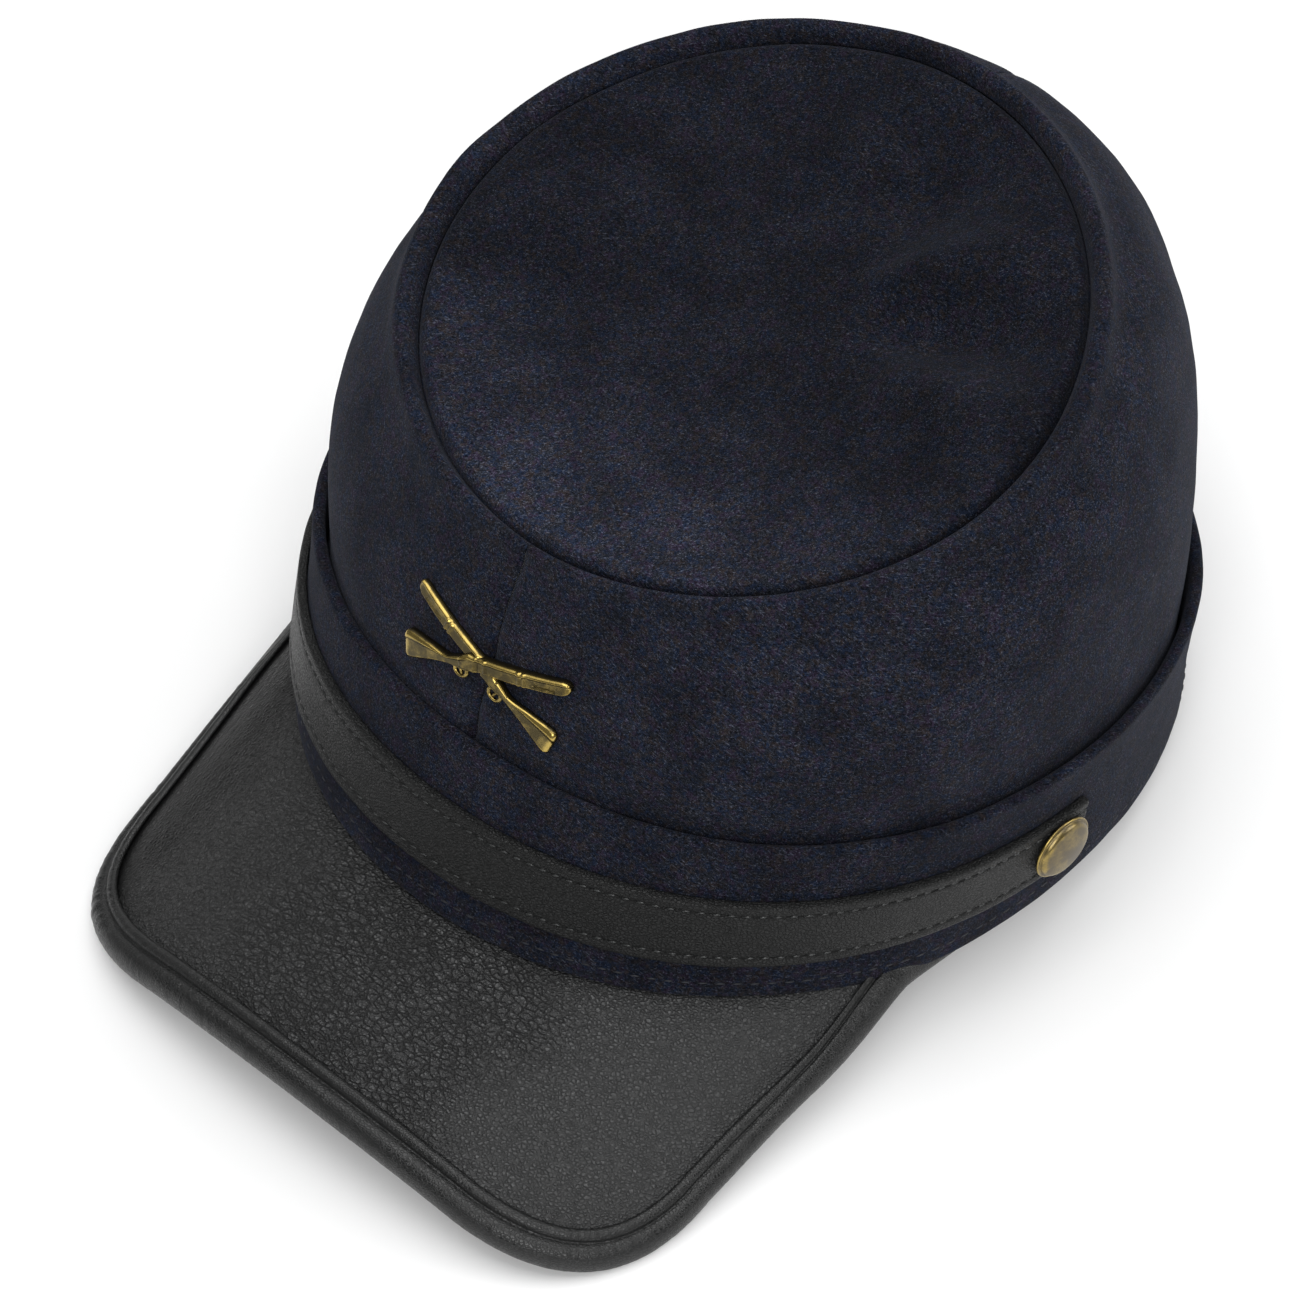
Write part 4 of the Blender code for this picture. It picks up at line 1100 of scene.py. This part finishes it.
def strap_wave(along, height):
    return 0.16 * MM * noise.noise(Vector((along, height, 0.0)) / (11.0 * MM))


def make_strap():
    half = strap_profile()
    loop = [(STRAP_MIDDLE + height, share) for height, share in half]
    loop += [(STRAP_MIDDLE - height, share) for height, share in reversed(half[1:])]

    def place(column, row):
        theta = STRAP_START + (STRAP_END - STRAP_START) * column / (STRAP_COLUMNS - 1)
        height, thick = loop[row]
        along = theta * RIM.half_length
        furrow = abs(abs(height - STRAP_MIDDLE) - (STRAP_WIDTH / 2.0 - STITCH_INSET)) < 0.1 * MM
        dent = 0.14 * MM * math.cos(2.0 * math.pi * along / STITCH_PITCH) if furrow else 0.0
        lift = thick * (STRAP_WALL + strap_wave(along, height)) - dent * (1.0 if thick > 0.5 else 0.0)
        return band_place(theta, height, GAP + lift)

    bm = close(grid(STRAP_COLUMNS, len(loop), place, round_rows=True))
    return finish_piece("strap_ribbon", bm, strap_leather, ("chin_strap",))


def make_strap_stitches():
    """The thread in both furrows, one stitch between two pinches."""
    bm = bmesh.new()

    def furrow_floor(theta, height):
        lift = 0.76 * (STRAP_WALL + strap_wave(theta * RIM.half_length, height)) + 0.12 * MM
        return band_place(theta, height, GAP + lift)

    first = math.ceil(STRAP_START * RIM.half_length / STITCH_PITCH)
    last = math.floor(STRAP_END * RIM.half_length / STITCH_PITCH)
    for k in range(first, last):
        theta = (k + 0.5) * STITCH_PITCH / RIM.half_length
        for side in (-1.0, 1.0):
            height = STRAP_MIDDLE + side * (STRAP_WIDTH / 2.0 - STITCH_INSET)
            add_stitch(bm, stitch_frame(furrow_floor, theta, height, 0.12), 2.0 * MM, 0.60 * MM, 0.6 * MM)
    return finish_piece("strap_stitches", bm, black_thread)


black_thread = thread("black_thread", (0.038, 0.040, 0.040), 0.24)
make_strap()
make_strap_stitches()

# %% [markdown]
# ## Brass
#
# The buttons and the badge are plated in antique brass: a warm metal darkened all over and then rubbed bright
# where it stands out.  Each mesh carries a number called rubbed at every vertex, 1 on an edge that a cloth
# would polish and 0 in a hollow.  The finish reads it, breaks it up with noise, and makes the rubbed metal
# bright and smooth and the rest brown and dull.

# %% Brass finishes
BRASS_BRIGHT = (0.48, 0.35, 0.10)
BADGE_DULL = (0.088, 0.071, 0.035)
BUTTON_DULL = (0.125, 0.103, 0.068)


def brass(name, bright, dull, spot, rough_dull, rough_bright):
    """Antique brass, bright where the mesh's rubbed number is high, mottled by patches of that size."""
    material, tree, shader, coords = new_tree(name)
    rubbed = tree.nodes.new("ShaderNodeAttribute")
    rubbed.attribute_name = "rubbed"
    broad = noise_of(tree, stretched(tree, coords, (0.2, 0.4, 0.1), (spot,) * 3), 4.0, 0.6, 0.4)
    fine = noise_of(tree, stretched(tree, coords, (0.7, 0.1, 0.3), (spot / 9.0,) * 3), 3.0, 0.6)
    mottle = maths(tree, "ADD", ramp(tree, broad, 0.3, 0.7, -0.22, 0.22), ramp(tree, fine, 0.3, 0.7, -0.06, 0.06))
    amount = ramp(tree, maths(tree, "ADD", rubbed.outputs["Fac"], mottle), 0.0, 1.0)
    tree.links.new(blend(tree, amount, dull, bright), shader.inputs["Base Color"])
    tree.links.new(ramp(tree, amount, 0.0, 1.0, rough_dull, rough_bright), shader.inputs["Roughness"])
    shader.inputs["Metallic"].default_value = 1.0
    bump(tree, shader, fine, 0.10, 0.04 * MM)
    return material


button_brass = brass("stamped_brass", BRASS_BRIGHT, BUTTON_DULL, 4.5 * MM, 0.34, 0.20)
badge_brass = brass("cast_brass", BRASS_BRIGHT, BADGE_DULL, 3.0 * MM, 0.40, 0.20)


def set_rubbed(bm, value_at):
    """Writes the rubbed number of every vertex from its place in the piece's own frame."""
    layer = bm.verts.layers.float.new("rubbed")
    for vertex in bm.verts:
        vertex[layer] = min(max(value_at(vertex.co), 0.0), 1.0)


# %% [markdown]
# ## Buttons
#
# Each button is a stamped shell: a nearly flat face, a round shoulder and a thin rolled rim.  It is turned, so
# one profile spun round the button's axis makes it, and a matrix carries it to its place on the strap.

# %% Buttons
BUTTON_RADIUS = 7.5 * MM
BUTTON_HEIGHT = 2.6 * MM
BUTTON_SHOULDER = 1.3 * MM
SHANK_RADIUS = 1.6 * MM
SHANK_LENGTH = 8.5 * MM


def button_frame(side):
    """Where a button sits on the strap, with its axis along the strap's outward normal."""
    theta = -BUTTON_ANGLE if side > 0 else math.pi + BUTTON_ANGLE

    def face(angle, level):
        return band_place(angle, level, GAP + STRAP_WALL)

    normal = outward_normal(face, theta, STRAP_MIDDLE, MM)
    turn = normal.to_track_quat("Z", "Y").to_matrix().to_4x4()
    return Matrix.Translation(face(theta, STRAP_MIDDLE) + normal * GAP) @ turn


def button_rubbed(point):
    """Dull on the face, half bright on the shoulder, bright on the rim."""
    radius = math.hypot(point.x, point.y) / BUTTON_RADIUS
    shoulder = math.exp(-(((radius - 0.86) / 0.09) ** 2))
    return 0.13 + 0.30 * shoulder + 0.45 * smooth_step(radius, 0.94, 0.98)


def make_button(name, side, node):
    flat = BUTTON_RADIUS - 0.45 * MM - BUTTON_SHOULDER
    top = BUTTON_HEIGHT - 0.5 * MM
    profile = [(flat * k / 10.0, BUTTON_HEIGHT - 0.5 * MM * (k / 10.0) ** 2) for k in range(11)]
    for step in range(1, 9):
        turn = math.radians(12.0 + 78.0 * step / 8.0)
        profile.append((flat + BUTTON_SHOULDER * (math.sin(turn) - 0.2), top - BUTTON_SHOULDER * (0.98 - math.cos(turn))))
    profile += [(BUTTON_RADIUS - 0.42 * MM, 0.80 * MM), (BUTTON_RADIUS - 0.30 * MM, 0.86 * MM)]
    profile += [(BUTTON_RADIUS - 0.10 * MM, 0.78 * MM), (BUTTON_RADIUS, 0.55 * MM), (BUTTON_RADIUS - 0.10 * MM, 0.20 * MM)]
    profile += [(BUTTON_RADIUS - 0.5 * MM, 0.0), (SHANK_RADIUS, 0.0), (SHANK_RADIUS, -SHANK_LENGTH), (0.0, -SHANK_LENGTH)]
    bm = bmesh.new()
    points = [bm.verts.new((x, 0.0, z)) for x, z in profile]
    edges = [bm.edges.new(pair) for pair in zip(points, points[1:])]
    bmesh.ops.spin(
        bm, geom=[*points, *edges], cent=(0, 0, 0), axis=(0, 0, 1), angle=2.0 * math.pi, steps=72, use_merge=True
    )
    bmesh.ops.remove_doubles(bm, verts=bm.verts, dist=0.001 * MM)
    bmesh.ops.recalc_face_normals(bm, faces=bm.faces)
    set_rubbed(bm, button_rubbed)
    bmesh.ops.transform(bm, matrix=button_frame(side), verts=bm.verts)
    return finish_piece(name, bm, button_brass, (node,))


make_button("brass_button_left", 1, "button_left")
make_button("brass_button_right", -1, "button_right")

# %% [markdown]
# ## The badge
#
# Two crossed long guns, cast in low relief in one piece.  One gun is a grid whose ways run along it and across
# it: an outline in a few rows gives its lower and upper edge, and its section has a flat face, round edges and
# a ridge along the barrel.  The second gun is the same, mirrored and set a little lower.  Both are made flat,
# where they are easy to draw, and then bent to the crown's front wall.

# %% One long gun
GUN_ANGLE = math.radians(14.7)
GUN_RELIEF = 1.7 * MM
GUN_STEP = 0.6 * MM
GUN_COLUMNS = 180
GUN_ROWS_ACROSS = 30
GunEdge = namedtuple("GunEdge", "along low high relief")
GUN_OUTLINE = (
    GunEdge(-22.4, -5.7, -1.7, 0.45),
    GunEdge(-22.1, -6.4, -0.9, 0.68),
    GunEdge(-21.4, -6.85, -0.4, 0.80),
    GunEdge(-20.4, -6.65, -0.25, 0.80),
    GunEdge(-17.6, -5.6, -0.4, 0.80),
    GunEdge(-14.0, -4.3, -0.7, 0.80),
    GunEdge(-10.4, -3.3, -1.2, 0.82),
    GunEdge(-9.0, -3.0, -1.25, 0.84),
    GunEdge(-7.8, -2.9, -0.8, 0.88),
    GunEdge(-5.6, -3.0, 0.0, 0.95),
    GunEdge(-4.2, -3.0, 0.9, 1.00),
    GunEdge(-3.0, -2.9, 1.45, 1.00),
    GunEdge(-1.6, -2.5, 1.25, 0.98),
    GunEdge(0.5, -2.0, 1.35, 0.95),
    GunEdge(8.0, -1.9, 1.50, 0.94),
    GunEdge(16.0, -1.8, 1.50, 0.92),
    GunEdge(20.4, -1.7, 1.50, 0.90),
    GunEdge(21.5, -1.25, 1.20, 0.80),
    GunEdge(22.0, -0.50, 0.50, 0.50),
)


def outline_at(along):
    """The gun's lower and upper edge and relief there, smoothly between the rows."""
    for near, far in zip(GUN_OUTLINE, GUN_OUTLINE[1:]):
        if along <= far.along:
            break
    share = (along - near.along) / (far.along - near.along)
    return [a + (b - a) * share for a, b in zip(near[1:], far[1:])]


def gun_section(across):
    """The height across the gun, -1 at its lower and 1 at its upper edge: round edges, a face and a ridge."""
    edge = min((1.0 - abs(across)) / 0.20, 1.0)
    ridge = 0.24 * math.exp(-(((across - 0.58) / 0.20) ** 2))
    return math.sqrt(max(0.0, 1.0 - (1.0 - edge) ** 2)) * (0.76 + ridge)


def gun_detail(along, up):
    """Small raised bands, a cut for the rod and the lock's plate, in millimetres."""
    detail = 0.22 * (abs(along - 1.4) < 0.40) + 0.26 * (abs(along - 10.7) < 1.0) - 0.30 * (abs(along - 10.7) < 0.25)
    detail -= 0.50 * (13.2 < along < 18.6 and abs(up + 0.9) < 0.30)
    detail += 0.30 * (-5.4 < along < -1.2 and -2.2 < up < 0.2) - 0.40 * (abs(along + 0.6) < 0.22)
    return detail


def add_gun(bm, lean, step):
    """One long gun in the badge's flat frame, its butt at the left for a positive lean."""
    start, end = GUN_OUTLINE[0].along, GUN_OUTLINE[-1].along

    def place(column, row):
        along = start + (end - start) * column / (GUN_COLUMNS - 1)
        low, high, relief = outline_at(along)
        if row >= GUN_ROWS_ACROSS:
            share = 1.0 - 2.0 * (row - GUN_ROWS_ACROSS + 1) / 5.0
            return Vector((along, (low + high + (high - low) * share) / 2.0, 0.0)) * MM
        share = -math.cos(math.pi * row / (GUN_ROWS_ACROSS - 1))
        up = (low + high + (high - low) * share) / 2.0
        height = relief * gun_section(share) * GUN_RELIEF / MM
        height += gun_detail(along, up) * (abs(share) < 0.9)
        return Vector((along, up, height + (step / MM if abs(share) < 1.0 else 0.0))) * MM

    gun = close(grid(GUN_COLUMNS, GUN_ROWS_ACROSS + 4, place, round_rows=True))
    set_rubbed(gun, gun_rubbed)
    add_guard(gun)
    if lean < 0.0:
        bmesh.ops.scale(gun, vec=(-0.975, 1.0, 1.0), verts=gun.verts)
        bmesh.ops.reverse_faces(gun, faces=gun.faces)
    bmesh.ops.rotate(gun, matrix=Matrix.Rotation(lean + BADGE_TURN, 3, "Z"), verts=gun.verts)
    mesh = bpy.data.meshes.new("one_gun")
    gun.to_mesh(mesh)
    gun.free()
    bm.from_mesh(mesh)
    bpy.data.meshes.remove(mesh)


def gun_rubbed(point):
    """Bright along the ridge and both edges, duller on the faces, dark down the sides."""
    low, high, relief = outline_at(min(max(point.x / MM, -22.4), 22.0))
    across = (2.0 * point.y / MM - low - high) / (high - low)
    ridge = math.exp(-(((across - 0.66) / 0.13) ** 2))
    edges = math.exp(-(((abs(across) - 0.86) / 0.07) ** 2))
    ends = smooth_step(abs(point.x), 20.6 * MM, 21.8 * MM)
    return 0.16 + 0.8 * ridge + 0.6 * edges + 0.6 * ends - 0.5 * smooth_step(abs(across), 0.94, 0.99)


# %% Guards and the whole badge
BADGE_PLACE = 0.463
BADGE_OFFSET = -1.0 * MM
BADGE_TURN = math.radians(-1.9)


def add_guard(bm):
    """The trigger guard: a wire ring turned from a small circle, with its trigger, below the lock."""
    layer = bm.verts.layers.float["rubbed"]
    before = set(bm.verts)
    centre = Vector((-5.9, -3.6, 0.75)) * MM
    turn = Matrix.Translation(centre + Vector((1.45 * MM, 0.0, 0.0))) @ Matrix.Rotation(math.pi / 2.0, 4, "X")
    circle = bmesh.ops.create_circle(bm, segments=8, radius=0.42 * MM, matrix=turn)["verts"]
    edges = list({edge for vertex in circle for edge in vertex.link_edges})
    bmesh.ops.spin(
        bm, geom=[*circle, *edges], cent=centre, axis=(0, 0, 1), angle=2.0 * math.pi, steps=24, use_merge=True
    )
    trigger = Matrix.Translation(centre) @ Matrix.Rotation(0.25, 4, "Z") @ Matrix.Diagonal((0.3, 1.1, 0.35, 1.0))
    bmesh.ops.create_uvsphere(bm, u_segments=10, v_segments=6, radius=MM, matrix=trigger)
    new = [vertex for vertex in bm.verts if vertex not in before]
    bmesh.ops.scale(bm, vec=(1.15, 0.9, 1.0), verts=new, space=Matrix.Translation(-centre))
    faces = list({face for vertex in new for face in vertex.link_faces})
    bmesh.ops.recalc_face_normals(bm, faces=faces)
    for vertex in new:
        vertex[layer] = 0.55


def wall_bend(point):
    """Carries a point of the flat badge to the crown's front wall: x round it, y up it, z off it."""
    step = 0.1
    wall_height = (wall_place(FRONT, BADGE_PLACE + step) - wall_place(FRONT, BADGE_PLACE - step)).length
    rise = BADGE_PLACE + 2.0 * step * point.y / wall_height
    reach = (wall_place(FRONT + step, rise) - wall_place(FRONT - step, rise)).length
    theta = FRONT + 2.0 * step * point.x / reach
    return wall_place(theta, rise) + outward_normal(wall_place, theta, rise, 0.01) * (GAP + point.z)


def make_badge():
    bm = bmesh.new()
    add_gun(bm, GUN_ANGLE, GUN_STEP)
    add_gun(bm, -GUN_ANGLE, 0.0)
    bmesh.ops.translate(bm, vec=(BADGE_OFFSET, 0.0, 0.0), verts=bm.verts)
    for vertex in bm.verts:
        vertex.co = wall_bend(vertex.co)
    return finish_piece("crossed_guns", bm, badge_brass, ("badge",))


make_badge()
